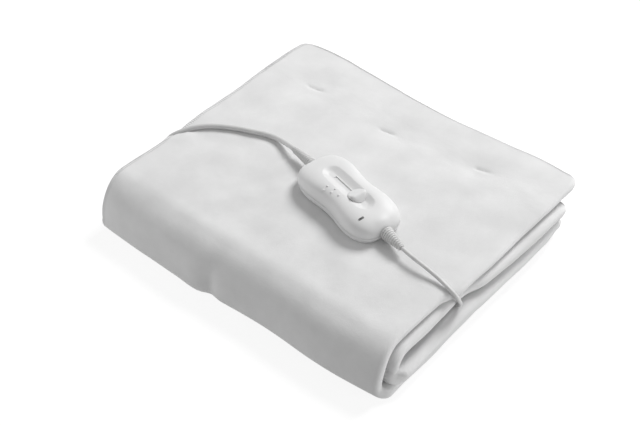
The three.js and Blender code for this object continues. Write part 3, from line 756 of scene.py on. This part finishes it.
def foot_sag(x):
    """How far the outer layer sags at the foot of the near fold, most towards the left."""
    return FOOT_SAG + LEFT_FOOT_SAG * smooth(share(x, *LEFT_OF))


def inner_corner(section):
    """How far the outer layer is pressed out into the lower corner of the inner fold."""
    corner = 2 * max(0, section["normal_y"]) * max(0, section["normal_z"])
    at_fold = share(section["y"], *CORNER_Y) * share(section["z"], *CORNER_Z)
    return CORNER_PUSH * corner * at_fold


def far_edge_swell(x):
    """How far the cover's free edge stands out at x, in a long wave."""
    return EDGE_WAVE * math.cos((x - EDGE_CREST) / EDGE_LENGTH * math.tau) - EDGE_BACK


def mains_dent(x, y, z):
    """How far the mains lead presses the cover ply down at its left edge."""
    aside = y - DENT_Y - DENT_SLOPE * x
    across = sum(part * bell(aside, width) for part, width in DENT_GROOVES)
    at_edge = share(x, DENT_REACH, 0) * share(z, COVER_UNDERSIDE, STACK_TOP)
    return DENT_DEPTH * across * at_edge


def mouth_lift(x, y, z):
    """How far the blanket lead holds the mouth of the hollow open."""
    along = bell(y - MOUTH_Y, MOUTH_REACH) * share(x, *MOUTH_X)
    return MOUTH_LIFT * along * share(z, *MOUTH_FLOOR) * share(z, *MOUTH_ROOF)


TACKS = [
    (0.0589, 0.2687, 0.0737, 0.2719),
    (0.1656, 0.2617, 0.1796, 0.2648),
    (0.2807, 0.2783, 0.294, 0.2813),
]
TACK_HOLLOWS = ((0.0016, 0.0024), (0.0022, 0.02))  # a narrow crease within a soft hollow
# Soft troughs (and, with a negative depth, ridges) in the cover, from one place on it to
# another: x, y, x, y, depth, half width.
TROUGHS = [(*tack, *hollow) for tack in TACKS for hollow in TACK_HOLLOWS] + [
    (0.1995, 0.24, 0.1995, 0.28, 0.0016, 0.018),
    (0.342, 0.17, 0.342, 0.21, 0.002, 0.02),
    (0.002, 0.104, 0.014, 0.119, -0.002, 0.008),
    (0.03, 0.125, 0.07, 0.148, 0.0012, 0.012),
    (0.042, 0.09, 0.098, 0.064, -0.0012, 0.016),
    (0.3019, 0.1117, 0.325, 0.1, 0.0014, 0.016),
    (0.2858, 0.0318, 0.26, 0.06, 0.0012, 0.014),
    (0.12, 0.042, 0.145, 0.09, 0.0012, 0.013),
]
# Unevenness of the settled cloth: its height, the size of its swells and its seed.
TOP_SWELLS = (0.0019, 0.06, 1)
TOP_LUMPS = (0.0007, 0.026, 2)
END_SWELLS = (0.0012, 0.05, 3)
FRONT_SWELLS = (0.0008, 0.045, 4)
END_REACH = 0.04
FRONT_REACH = 0.03


def from_line(x, y, x1, y1, x2, y2):
    """Distance in plan from a place to the line between two others."""
    along = share((x - x1) * (x2 - x1) + (y - y1) * (y2 - y1), 0, (x2 - x1) ** 2 + (y2 - y1) ** 2)
    return math.hypot(x - x1 - along * (x2 - x1), y - y1 - along * (y2 - y1))


def cover_trough(x, y):
    return sum(
        depth * bell(from_line(x, y, x1, y1, x2, y2), width)
        for x1, y1, x2, y2, depth, width in TROUGHS
    )


def uneven(place, height, size, seed):
    """Smooth unevenness up to a height either way, whose swells are about `size` across."""
    return height * noise.noise(Vector(place) / size + Vector((seed, 2 * seed, 3 * seed)))


def settled(section, x, off):
    """The place of one point of the sheet's middle, counted from the foot of the stack."""
    half_ply = section["ply"] / 2 - CLOTH_LAYER / 2
    to_near = max(0, -section["normal_y"]) * share(section["y"], NEAR_REACH, NEAR_FULL)
    to_foot = 2 * to_near * max(0, -section["normal_z"])
    out = off + to_near * (near_fold_swell(x) - near_fold_crease(x, section["z"]))
    out += to_foot * foot_sag(x) * share(off, 0, half_ply)
    out -= inner_corner(section) * share(off, 0, -half_ply)
    is_cover = section["z"] > COVER_UNDERSIDE
    free = share(section["y"], STACK_DEPTH - EDGE_REACH, STACK_DEPTH) if is_cover else 0
    y = section["y"] + section["normal_y"] * out + far_edge_swell(x) * free**2
    z = max(CLOTH_LAYER / 2, section["z"] + section["normal_z"] * out)
    z += mouth_lift(x, y, z) - mains_dent(x, y, z)
    high = share(z, FADE_LOW, FADE_HIGH)
    z -= high * cover_trough(x, y)
    z += high * (uneven((x, y, 0), *TOP_SWELLS) + uneven((x, y, 0), *TOP_LUMPS))
    x += share(x, STACK_RIGHT - END_REACH, STACK_RIGHT) * uneven((y, z * 2, 0), *END_SWELLS)
    y += share(y, FRONT_REACH, 0) * uneven((x, z, 0), *FRONT_SWELLS)
    return Vector((x, y, z))


def folded_sheet():
    """The flat sheet as a grid, with its pattern coordinates, laid along the folds."""
    sections = all_sections()
    columns = OUTER_STEPS + CREST_STEPS + INNER_STEPS
    rows = len(sections) - 1
    shape = bmesh.new()
    bmesh.ops.create_grid(shape, x_segments=columns, y_segments=rows, size=1)
    flat = shape.loops.layers.uv.new("flat")
    from_hem = shape.verts.layers.float.new("from_hem")
    along_hem = shape.verts.layers.float.new("along_hem")
    for vert in shape.verts:
        column = round((vert.co.x + 1) / 2 * columns)
        row = round((vert.co.y + 1) / 2 * rows)
        column = crowded(column) if column < OUTER_STEPS else column
        across = SHEET_WIDTH * column / columns
        along = SHEET_LENGTH * row / rows
        side = min(across, SHEET_WIDTH - across)
        end = min(along, SHEET_LENGTH - along)
        vert[from_hem] = min(side, end)
        vert[along_hem] = along if side < end else across
        x, off = across_ply(sections[row], column)
        for loop in vert.link_loops:
            loop[flat].uv = (across / SHEET_LENGTH, along / SHEET_LENGTH)
        vert.co = settled(sections[row], x, off) + STACK_FOOT
    face_outwards(shape)
    shade_smooth(shape)
    return shape


HEM_WIDTH = 0.006
HEM_ROUNDING = 0.0016
STITCH = 0.0028
LAYER_GAP = 0.0001


def attribute(tree, name):
    node = tree.nodes.new("ShaderNodeAttribute")
    node.attribute_name = name
    return node.outputs["Fac"]


def hem_stitches(tree):
    """A ridge for every overlock stitch, within the hem only."""
    inside = tree.nodes.new("ShaderNodeMapRange")
    set_inputs(inside, {"From Min": HEM_WIDTH, "From Max": HEM_WIDTH * 0.8})
    tree.links.new(attribute(tree, "from_hem"), inside.inputs["Value"])
    turns = math_node(tree, "MULTIPLY", attribute(tree, "along_hem"), math.tau / STITCH)
    wave = math_node(tree, "SINE", turns.outputs["Value"])
    ridge = math_node(tree, "MULTIPLY", wave.outputs["Value"])
    tree.links.new(inside.outputs["Result"], ridge.inputs[1])
    return ridge.outputs["Value"]


def fleece():
    """Brushed white fleece: a fine nap over soft felted lumps, pressed and whipped at the hem."""
    material, tree, shader = new_finish("fleece", grey(0.72), 0.95)
    set_inputs(shader, {"Specular IOR Level": 0.1, "Sheen Weight": 0.3, "Sheen Roughness": 0.6})
    pattern = tree.nodes.new("ShaderNodeUVMap")
    pattern.uv_map = "flat"
    place = pattern.outputs["UV"]
    clouds = noise_node(tree, place, 24, 3, 0.55)
    tinted(tree, shader, clouds, grey(0.68), grey(0.75), 0.3, 0.7)
    lumps = noise_node(tree, place, 170, 4, 0.6)
    nap = noise_node(tree, place, 1400, 5, 0.7)
    embossed(tree, shader, lumps, 0.2, 0.0009)
    embossed(tree, shader, hem_stitches(tree), 0.6, 0.0006)
    embossed(tree, shader, nap, 0.45, 0.0005)
    return material


cloth = mesh_piece("folded_cloth", folded_sheet(), fleece(), "fleece", "blanket")
layer = cloth.modifiers.new("layer", "SOLIDIFY")
layer.thickness = CLOTH_LAYER - LAYER_GAP
layer.offset = 0
hem_edge = cloth.modifiers.new("hem_edge", "BEVEL")
hem_edge.width = HEM_ROUNDING
hem_edge.segments = 2
hem_edge.limit_method = "ANGLE"
hem_edge.angle_limit = math.radians(60)

# ------------ lower case shell
# The lower half of the controller, a shallow tray moulded in satin white plastic. Its outline
# is long and rounded with a waist, and it meets the upper half at a fine joint.

CASE_LENGTH = 0.125
CASE_WIDTH = 0.0655
CASE_HEIGHT = 0.025
CASE_SPLIT = 0.008
CASE_WALL = 0.0012
CASE_FOOT = Vector((0.2149, 0.1453, 0.0571)) + STACK_FOOT  # middle of its flat foot
CASE_TURN = math.radians(-14.1)
CASE_PLACE = Matrix.Translation(CASE_FOOT) @ Matrix.Rotation(CASE_TURN, 4, "Z")
WAIST_DEPTH = 0.18
WAIST_REACH = 0.029
OUTLINE_POWER = 3.4
OUTLINE_CROWDING = 0.8  # below 1, the steps of the outline crowd at its two ends
ROUND_STEPS = 144
JOINT_GAP = 0.00015
# Share of the outline and height of the rings of the tray, from its flat foot up.
TRAY_RINGS = (
    (0.9, 0),
    (0.93, 0.0003),
    (0.955, 0.0012),
    (0.975, 0.0026),
    (0.99, 0.0046),
    (0.998, 0.0066),
    (1, CASE_SPLIT - JOINT_GAP),
)


def case_half_width(u):
    """Half the width of the case at u along it."""
    along = min(1, abs(u) / (CASE_LENGTH / 2))
    waist = 1 - WAIST_DEPTH * bell(u, WAIST_REACH)
    return CASE_WIDTH / 2 * (1 - along**OUTLINE_POWER) ** (1 / OUTLINE_POWER) * waist


def case_outline(step):
    """A place on the outline, as u along the case and v across it."""
    turn = math.tau * step / ROUND_STEPS
    along = abs(math.cos(turn)) ** OUTLINE_CROWDING
    u = CASE_LENGTH / 2 * math.copysign(along, math.cos(turn))
    return Vector((u, math.copysign(case_half_width(u), math.sin(turn))))


def ringed(rings):
    """A grid wrapped round the case and closed at its seam, ring by ring."""
    shape = bmesh.new()
    around, along = len(rings[0]), len(rings) - 1
    bmesh.ops.create_grid(shape, x_segments=around, y_segments=along, size=1)
    for vert in shape.verts:
        step = round((vert.co.x + 1) / 2 * around) % around
        ring = round((vert.co.y + 1) / 2 * along)
        vert.co = rings[ring][step]
    bmesh.ops.remove_doubles(shape, verts=shape.verts, dist=1e-7)
    return shape


def fill_ring(shape, height):
    """Closes the open ring that lies at a height."""
    open_edges = [edge for edge in shape.edges if edge.is_boundary]
    rim = [edge for edge in open_edges if abs(edge.verts[0].co.z - height) < 1e-6]
    bmesh.ops.holes_fill(shape, edges=rim)


def on_case(shape):
    """Turns a shape made about the middle of the case's foot into its place on the stack."""
    face_outwards(shape)
    bmesh.ops.transform(shape, matrix=CASE_PLACE, verts=shape.verts)
    return shape


def walled(piece):
    wall = piece.modifiers.new("wall", "SOLIDIFY")
    wall.thickness = CASE_WALL
    wall.offset = -1


def tray_shape():
    rings = []
    for scale, height in TRAY_RINGS:
        ring = [case_outline(step) * scale for step in range(ROUND_STEPS)]
        rings.append([Vector((place.x, place.y, height)) for place in ring])
    shape = ringed(rings)
    fill_ring(shape, 0)
    shade_smooth(shape, 40)
    return on_case(shape)


def satin_plastic():
    """Satin white moulded plastic with a barely uneven skin and fine handling marks."""
    material, tree, shader = new_finish("case_plastic", grey(0.8), 0.34)
    set_inputs(shader, {"Specular IOR Level": 0.35})
    place = object_coordinates(tree)
    clouds = noise_node(tree, place, 30, 3)
    tinted(tree, shader, clouds, grey(0.71), grey(0.74), 0.35, 0.65)
    marks = noise_node(tree, place, 260, 5, 0.65)
    gloss = tree.nodes.new("ShaderNodeMapRange")
    set_inputs(gloss, {"To Min": 0.4, "To Max": 0.52})
    tree.links.new(marks, gloss.inputs["Value"])
    tree.links.new(gloss.outputs["Result"], shader.inputs["Roughness"])
    embossed(tree, shader, noise_node(tree, place, 3200, 2), 0.08, 0.0001)
    return material


CASE_PLASTIC = satin_plastic()
case_tray = mesh_piece(
    "case_tray", tray_shape(), CASE_PLASTIC, "case_plastic", "controller_base"
)
walled(case_tray)

# ------------ upper case shell
# The crowned upper half, moulded in the same plastic. A long thumb trough dips into it, and
# the narrow slot for the slide runs along the floor of the trough.

DISH_MIDDLE = 0.0003
DISH_HALF = 0.028  # half the length of the line that the trough is drawn round
DISH_FLOOR = 0.0215
DISH_REACH = 0.011
DISH_RISE = 0.0035
DISH_FLAT = 0.003  # half the width of the flat floor
DISH_CURVE = 1.2  # 1 is a straight wall and 2 a round one
RIM_SEARCH = (0.006, 0.014)  # the trough's rim lies between these lengths along a ray
RIM_SOFTNESS = 0.0004
RAY_SPREAD = 0.62  # how far the rays' starts spread along the middle line
HALVINGS = 24
SLOT_MIDDLE = -0.002
SLOT_HALF_LENGTH = 0.0205
SLOT_HALF_WIDTH = 0.0017
SLOT_DEPTH = 0.0009
SLOT_STRETCH = (1.02, 8)  # a round stretched so and cut off at its size is nearly square
CROWN_RINGS = 18
CROWN_FALL = 4
CROWN_ROUNDING = 0.37
MOUND_HEIGHT = 0.0016  # the crown swells over the root of the blanket lead's boot
MOUND_U = 0.0575
MOUND_LENGTH = 0.006
MOUND_WIDTH = 0.0075
# Rings of the trough, as shares of the way from its rim to the slot.
DISH_SHARES = (0.06, 0.13, 0.22, 0.33, 0.45, 0.58, 0.72, 0.85, 0.95, 1)


def outline_share(u, v):
    """How far out a place lies, from 0 in the middle to 1 on the outline."""
    low, high = max(abs(u) / (CASE_LENGTH / 2), 1e-4), 1
    for _ in range(HALVINGS):
        middle = (low + high) / 2
        if abs(v) / middle > case_half_width(u / middle):
            low = middle
        else:
            high = middle
    return high


def crown_height(u, v):
    outward = outline_share(u, v)
    mound = MOUND_HEIGHT * bell(u - MOUND_U, MOUND_LENGTH) * bell(v, MOUND_WIDTH)
    crown = (CASE_HEIGHT - CASE_SPLIT) * max(0, 1 - outward**CROWN_FALL) ** CROWN_ROUNDING
    return CASE_SPLIT + crown + mound * share(outward, 1, 0.97)


def from_dish_line(u, v):
    return math.hypot(max(0, abs(u - DISH_MIDDLE) - DISH_HALF), v)


def dish_height(u, v):
    up_wall = max(0, from_dish_line(u, v) - DISH_FLAT) / (DISH_REACH - DISH_FLAT)
    return DISH_FLOOR + DISH_RISE * up_wall**DISH_CURVE


def dish_ray(edge):
    """From the middle line of the trough straight out to a place on the outline."""
    u = min(DISH_HALF, max(-DISH_HALF, RAY_SPREAD * (edge.x - DISH_MIDDLE)))
    start = Vector((DISH_MIDDLE + u, 0))
    return start, (edge - start).normalized()


def rim_distance(start, way):
    """How far along a ray the trough comes up to the crown."""
    low, high = RIM_SEARCH
    for _ in range(HALVINGS):
        middle = (low + high) / 2
        place = start + way * middle
        if dish_height(*place) < crown_height(*place):
            low = middle
        else:
            high = middle
    return low


def slot_edge(step):
    """A place on the edge of the slot, a stretched round cut off square."""
    turn = math.tau * step / ROUND_STEPS
    u = max(-1, min(1, SLOT_STRETCH[0] * math.cos(turn)))
    v = max(-1, min(1, SLOT_STRETCH[1] * math.sin(turn)))
    return Vector((SLOT_MIDDLE + SLOT_HALF_LENGTH * u, SLOT_HALF_WIDTH * v))


def crown_shape():
    """Rings from the joint over the crown, down into the trough and to the floor of the slot."""
    rows = []
    for step in range(ROUND_STEPS):
        edge = case_outline(step)
        start, way = dish_ray(edge)
        rim = rim_distance(start, way)
        reach = (edge - start).length
        row = [Vector((*edge, CASE_SPLIT + JOINT_GAP))]
        for ring in range(1, CROWN_RINGS + 1):
            spread = math.cos(ring / CROWN_RINGS * math.pi / 2) ** 0.5
            place = start + way * (rim + RIM_SOFTNESS + (reach - rim - RIM_SOFTNESS) * spread)
            row.append(Vector((*place, crown_height(*place))))
        lip = start + way * rim
        row.append(Vector((*lip, crown_height(*lip) - RIM_SOFTNESS / 4)))
        for portion in DISH_SHARES:
            place = lip.lerp(slot_edge(step), portion)
            row.append(Vector((*place, dish_height(*place))))
        row.append(Vector((*slot_edge(step), DISH_FLOOR - SLOT_DEPTH)))
        rows.append(row)
    shape = ringed([list(ring) for ring in zip(*rows)])
    fill_ring(shape, DISH_FLOOR - SLOT_DEPTH)
    shade_smooth(shape, 50)
    return on_case(shape)


case_crown = mesh_piece(
    "case_crown", crown_shape(), CASE_PLASTIC, "case_plastic", "controller_top"
)
walled(case_crown)

# ------------ slide knob
# The heat slide: a white plastic thumb piece that fills the trough from side to side. It
# climbs to a crest and drops steeply; its stem, which reaches into the slot, is not modelled.

KNOB_REST = 0.0145  # how far along the case the knob stands at rest
KNOB_HALF_LENGTH = 0.009
KNOB_HALF_WIDTH = 0.0094
KNOB_CLEARANCE = 0.0003
KNOB_EDGE = 0.0011  # how far the top falls to its rim
KNOB_EDGE_START = 0.82
KNOB_EDGE_POWER = 2.5
KNOB_RIM = 0.0004  # least thickness
KNOB_SOFT_ABOVE = 0.0235  # height above which the top is smoothed
# Height of the top along the knob.
KNOB_TOP = (
    (-0.009, 0.0243),
    (-0.005, 0.0254),
    (-0.0015, 0.0268),
    (0.001, 0.0281),
    (0.0026, 0.0286),
    (0.0042, 0.0282),
    (0.0056, 0.027),
    (0.0072, 0.0246),
    (0.009, 0.0225),
)
KNOB_STEPS = 72
# Rings of its underside from the middle out, and of its top from the rim in.
UNDER_SHARES = (0.1, 0.5, 1)
KNOB_SHARES = (1, 0.985, 0.95, 0.9, 0.82, 0.72, 0.6, 0.48, 0.36, 0.24, 0.12, 0.02)


def knob_top(u):
    """Height of the thumb piece along its middle line, straight from place to place."""
    for (u1, z1), (u2, z2) in zip(KNOB_TOP, KNOB_TOP[1:]):
        if u <= u2:
            return z1 + (z2 - z1) * share(u, u1, u2)
    return KNOB_TOP[-1][1]


def trough_floor(u, v):
    """The round trough that the slide was cut to clear."""
    radius = (DISH_REACH**2 + DISH_RISE**2) / (2 * DISH_RISE)
    away = from_dish_line(u, v)
    return DISH_FLOOR + radius - math.sqrt(radius**2 - away**2) + KNOB_CLEARANCE


def knob_place(step, portion, under):
    """A place on one of the rings, under the thumb piece or on its top."""
    turn = math.tau * step / KNOB_STEPS
    u = KNOB_HALF_LENGTH * portion * math.cos(turn)
    v = KNOB_HALF_WIDTH * portion * math.sin(turn)
    foot = trough_floor(KNOB_REST + u, v)
    if under:
        return Vector((KNOB_REST + u, v, foot))
    fall = KNOB_EDGE * share(portion, KNOB_EDGE_START, 1) ** KNOB_EDGE_POWER
    return Vector((KNOB_REST + u, v, max(foot + KNOB_RIM, knob_top(u) - fall)))


def knob_shape():
    """Rings from the foot in the trough up the side and over the top."""
    rings = []
    for portion in UNDER_SHARES:
        rings.append([knob_place(step, portion, True) for step in range(KNOB_STEPS)])
    for portion in KNOB_SHARES:
        rings.append([knob_place(step, portion, False) for step in range(KNOB_STEPS)])
    shape = ringed(rings)
    bmesh.ops.holes_fill(shape, edges=[edge for edge in shape.edges if edge.is_boundary])
    for _ in range(2):
        bmesh.ops.smooth_vert(
            shape,
            verts=[vert for vert in shape.verts if vert.co.z > KNOB_SOFT_ABOVE],
            factor=0.35,
            use_axis_x=False,
            use_axis_y=False,
            use_axis_z=True,
        )
    shade_smooth(shape, 55)
    return on_case(shape)


mesh_piece(
    "heat_knob", knob_shape(), CASE_PLASTIC, "case_plastic", "slide_knob", body="slide"
)

# ------------ indicator window
# A small window with round ends, moulded in smoked plastic and pressed into the crown, with
# the pilot lamp behind it.

LENS_U = 0.0431
LENS_V = -0.0161
LENS_LENGTH = 0.0064
LENS_WIDTH = 0.0024
LENS_PROUD = 0.00015
LENS_HALF_DEPTH = 0.0008
LENS_BEVEL = 0.0003
LENS_STEP = 0.0001


def crown_place(u, v):
    """The place and slope of the crown at u along the case and v across it."""
    step = 0.0005
    slope_u = (crown_height(u + step, v) - crown_height(u - step, v)) / (2 * step)
    slope_v = (crown_height(u, v + step) - crown_height(u, v - step)) / (2 * step)
    up = Vector((-slope_u, -slope_v, 1)).normalized()
    along = Vector((1, 0, slope_u)).normalized()
    turn = Matrix((along, up.cross(along), up)).transposed().to_4x4()
    return Matrix.Translation((u, v, crown_height(u, v))) @ turn


def window_shape():
    half = Vector((LENS_WIDTH / 2, LENS_LENGTH / 2, LENS_HALF_DEPTH))
    shape = box_shape(-half, half)
    rounded(shape, edges_along(shape, 2), LENS_WIDTH / 2 - 0.00005, 8)
    top = [face for face in shape.faces if face.normal.z > 0.9]
    bmesh.ops.inset_region(shape, faces=top, thickness=LENS_BEVEL, depth=LENS_STEP)
    lift = Matrix.Translation((0, 0, LENS_PROUD - LENS_HALF_DEPTH))
    bmesh.ops.transform(shape, matrix=crown_place(LENS_U, LENS_V) @ lift, verts=shape.verts)
    shade_smooth(shape, 50)
    return on_case(shape)


def smoked_window():
    """Dark smoked plastic, glossy, a little paler where the lamp shines through."""
    material, tree, shader = new_finish("lens", grey(0.12), 0.18)
    cloud = noise_node(tree, object_coordinates(tree), 500, 2)
    tinted(tree, shader, cloud, grey(0.08), grey(0.2), 0.35, 0.65)
    return material


mesh_piece("lamp_window", window_shape(), smoked_window(), "lens", "indicator_lens")

# ------------ position dots
# Small raised dots beside the trough, moulded with the crown in its white plastic, so that
# the heats can be told apart by touch.

DOT_RADIUS = 0.0014
DOT_HEIGHT = 0.0011
DOT_SINK = 0.0002  # so that no dot shows its undercut where the crown curves away
DOT_PLACES = (
    (-0.0124, -0.0219),
    (-0.0135, -0.0165),
    (-0.0041, -0.0182),
    (-0.005, -0.013),
    (0.0042, -0.0154),
)


def dots_shape():
    shape = bmesh.new()
    for u, v in DOT_PLACES:
        made = bmesh.ops.create_uvsphere(shape, u_segments=16, v_segments=8, radius=DOT_RADIUS)
        sink = Matrix.Translation((0, 0, -DOT_SINK))
        flat = Matrix.Diagonal((1, 1, DOT_HEIGHT / DOT_RADIUS, 1))
        place = crown_place(u, v) @ sink @ flat
        bmesh.ops.transform(shape, matrix=place, verts=made["verts"])
    shade_smooth(shape)
    return on_case(shape)


mesh_piece("heat_dots", dots_shape(), CASE_PLASTIC, "case_plastic")

# ------------ strain reliefs
# Ribbed boots of soft white vinyl that grip the two leads where they leave the case and
# taper to their tips, so that the leads bend without kinking.

BOOT_RIBS = 10
BOOT_GROOVE = 0.0011
BOOT_NECK = 0.005
BOOT_ROOT = 0.007  # how far the neck reaches into the case
BOOT_START = CASE_LENGTH / 2 + 0.0004
BOOT_ASIDE = 0.0006
BORE_HEIGHT = 0.0096  # of the leads' bores above the foot of the case
# One rib: shares of its pitch along the boot, and of the groove's depth down into it.
RIB = ((0.05, 0.35), (0.14, 0), (0.5, 0), (0.6, 0.35), (0.66, 1), (0.98, 1))


def boot_shape(end, length, root, tip, down):
    """A ribbed boot turned about the bore, then bent aside and down towards its tip."""
    pitch = length / BOOT_RIBS
    inside = BOOT_START - BOOT_ROOT
    profile = [(inside, 0), (inside, BOOT_NECK), (BOOT_START, BOOT_NECK)]
    for rib in range(BOOT_RIBS):
        radius = root + (tip - root) * rib / (BOOT_RIBS - 1)
        start = BOOT_START + rib * pitch
        for along, drop in RIB:
            profile.append((start + along * pitch, radius - drop * BOOT_GROOVE))
    profile.append((BOOT_START + length, 0))
    shape = turned(profile, Vector((0, 0, 0)), 32)
    for vert in shape.verts:
        bend = share(vert.co.x, CASE_LENGTH / 2, BOOT_START + length) ** 2
        vert.co += Vector((0, BOOT_ASIDE * bend, BORE_HEIGHT - down * bend))
    if end < 0:
        half_turn = Matrix.Rotation(math.pi, 4, "Z")
        bmesh.ops.transform(shape, matrix=half_turn, verts=shape.verts)
    shade_smooth(shape, 60)
    return on_case(shape)


mains_boot = boot_shape(end=-1, length=0.03, root=0.006, tip=0.0038, down=0.0014)
lead_boot = boot_shape(end=1, length=0.0246, root=0.0074, tip=0.004, down=0.0016)
mesh_piece("mains_boot", mains_boot, RELIEF_VINYL, "relief_vinyl", "mains_relief")
mesh_piece("lead_boot", lead_boot, RELIEF_VINYL, "relief_vinyl", "lead_relief")

# ------------ table and light
# A plain white table under a pale surround. A soft key light stands behind the stack, weak
# ones fill from the right and the left, and one from below stands for light off the table,
# which casts no light or shade of its own.

TABLE_HALF_SIDE = 4


def tabletop():
    shape = bmesh.new()
    bmesh.ops.create_grid(shape, x_segments=1, y_segments=1, size=TABLE_HALF_SIDE)
    material, tree, shader = new_finish("white_table", grey(0.3), 0.9)
    set_inputs(shader, {"Specular IOR Level": 0, "Emission Color": (1, 1, 1, 1)})
    set_inputs(shader, {"Emission Strength": 0.8})
    floor = mesh_object("tabletop", shape, material)
    floor.visible_diffuse = False
    floor.visible_shadow = False
    return floor


def soft_light(name, azimuth, elevation, distance, diameter, power):
    """A round lamp that is aimed at the middle under the stack."""
    lamp = new_object(name, bpy.data.lights.new(name, "AREA"))
    lamp.data.shape = "DISK"
    lamp.data.size = diameter
    lamp.data.energy = power
    turn, tilt = math.radians(azimuth), math.radians(elevation)
    way = Vector((math.cos(turn) * math.cos(tilt), math.sin(turn) * math.cos(tilt), math.sin(tilt)))
    lamp.location = way * distance
    lamp.rotation_euler = way.to_track_quat("Z", "Y").to_euler()


tabletop()
# Azimuth and elevation in degrees, distance and diameter in metres, power in watts.
soft_light("key", 90, 45, 2.4, 1, 49)
soft_light("right_fill", 8, 12, 2.4, 2, 13)
soft_light("right_bounce", 12, -22, 2.4, 2, 18)
soft_light("left_fill", 216, 9, 1.2, 0.9, 4.3)
world = bpy.data.worlds.new("surround")
world.use_nodes = True
set_inputs(world.node_tree.nodes["Background"], {"Color": (1, 1, 1, 1), "Strength": 0.37})
bpy.context.scene.world = world
bpy.context.scene.view_settings.view_transform = "Standard"

bpy.context.view_layer.update()
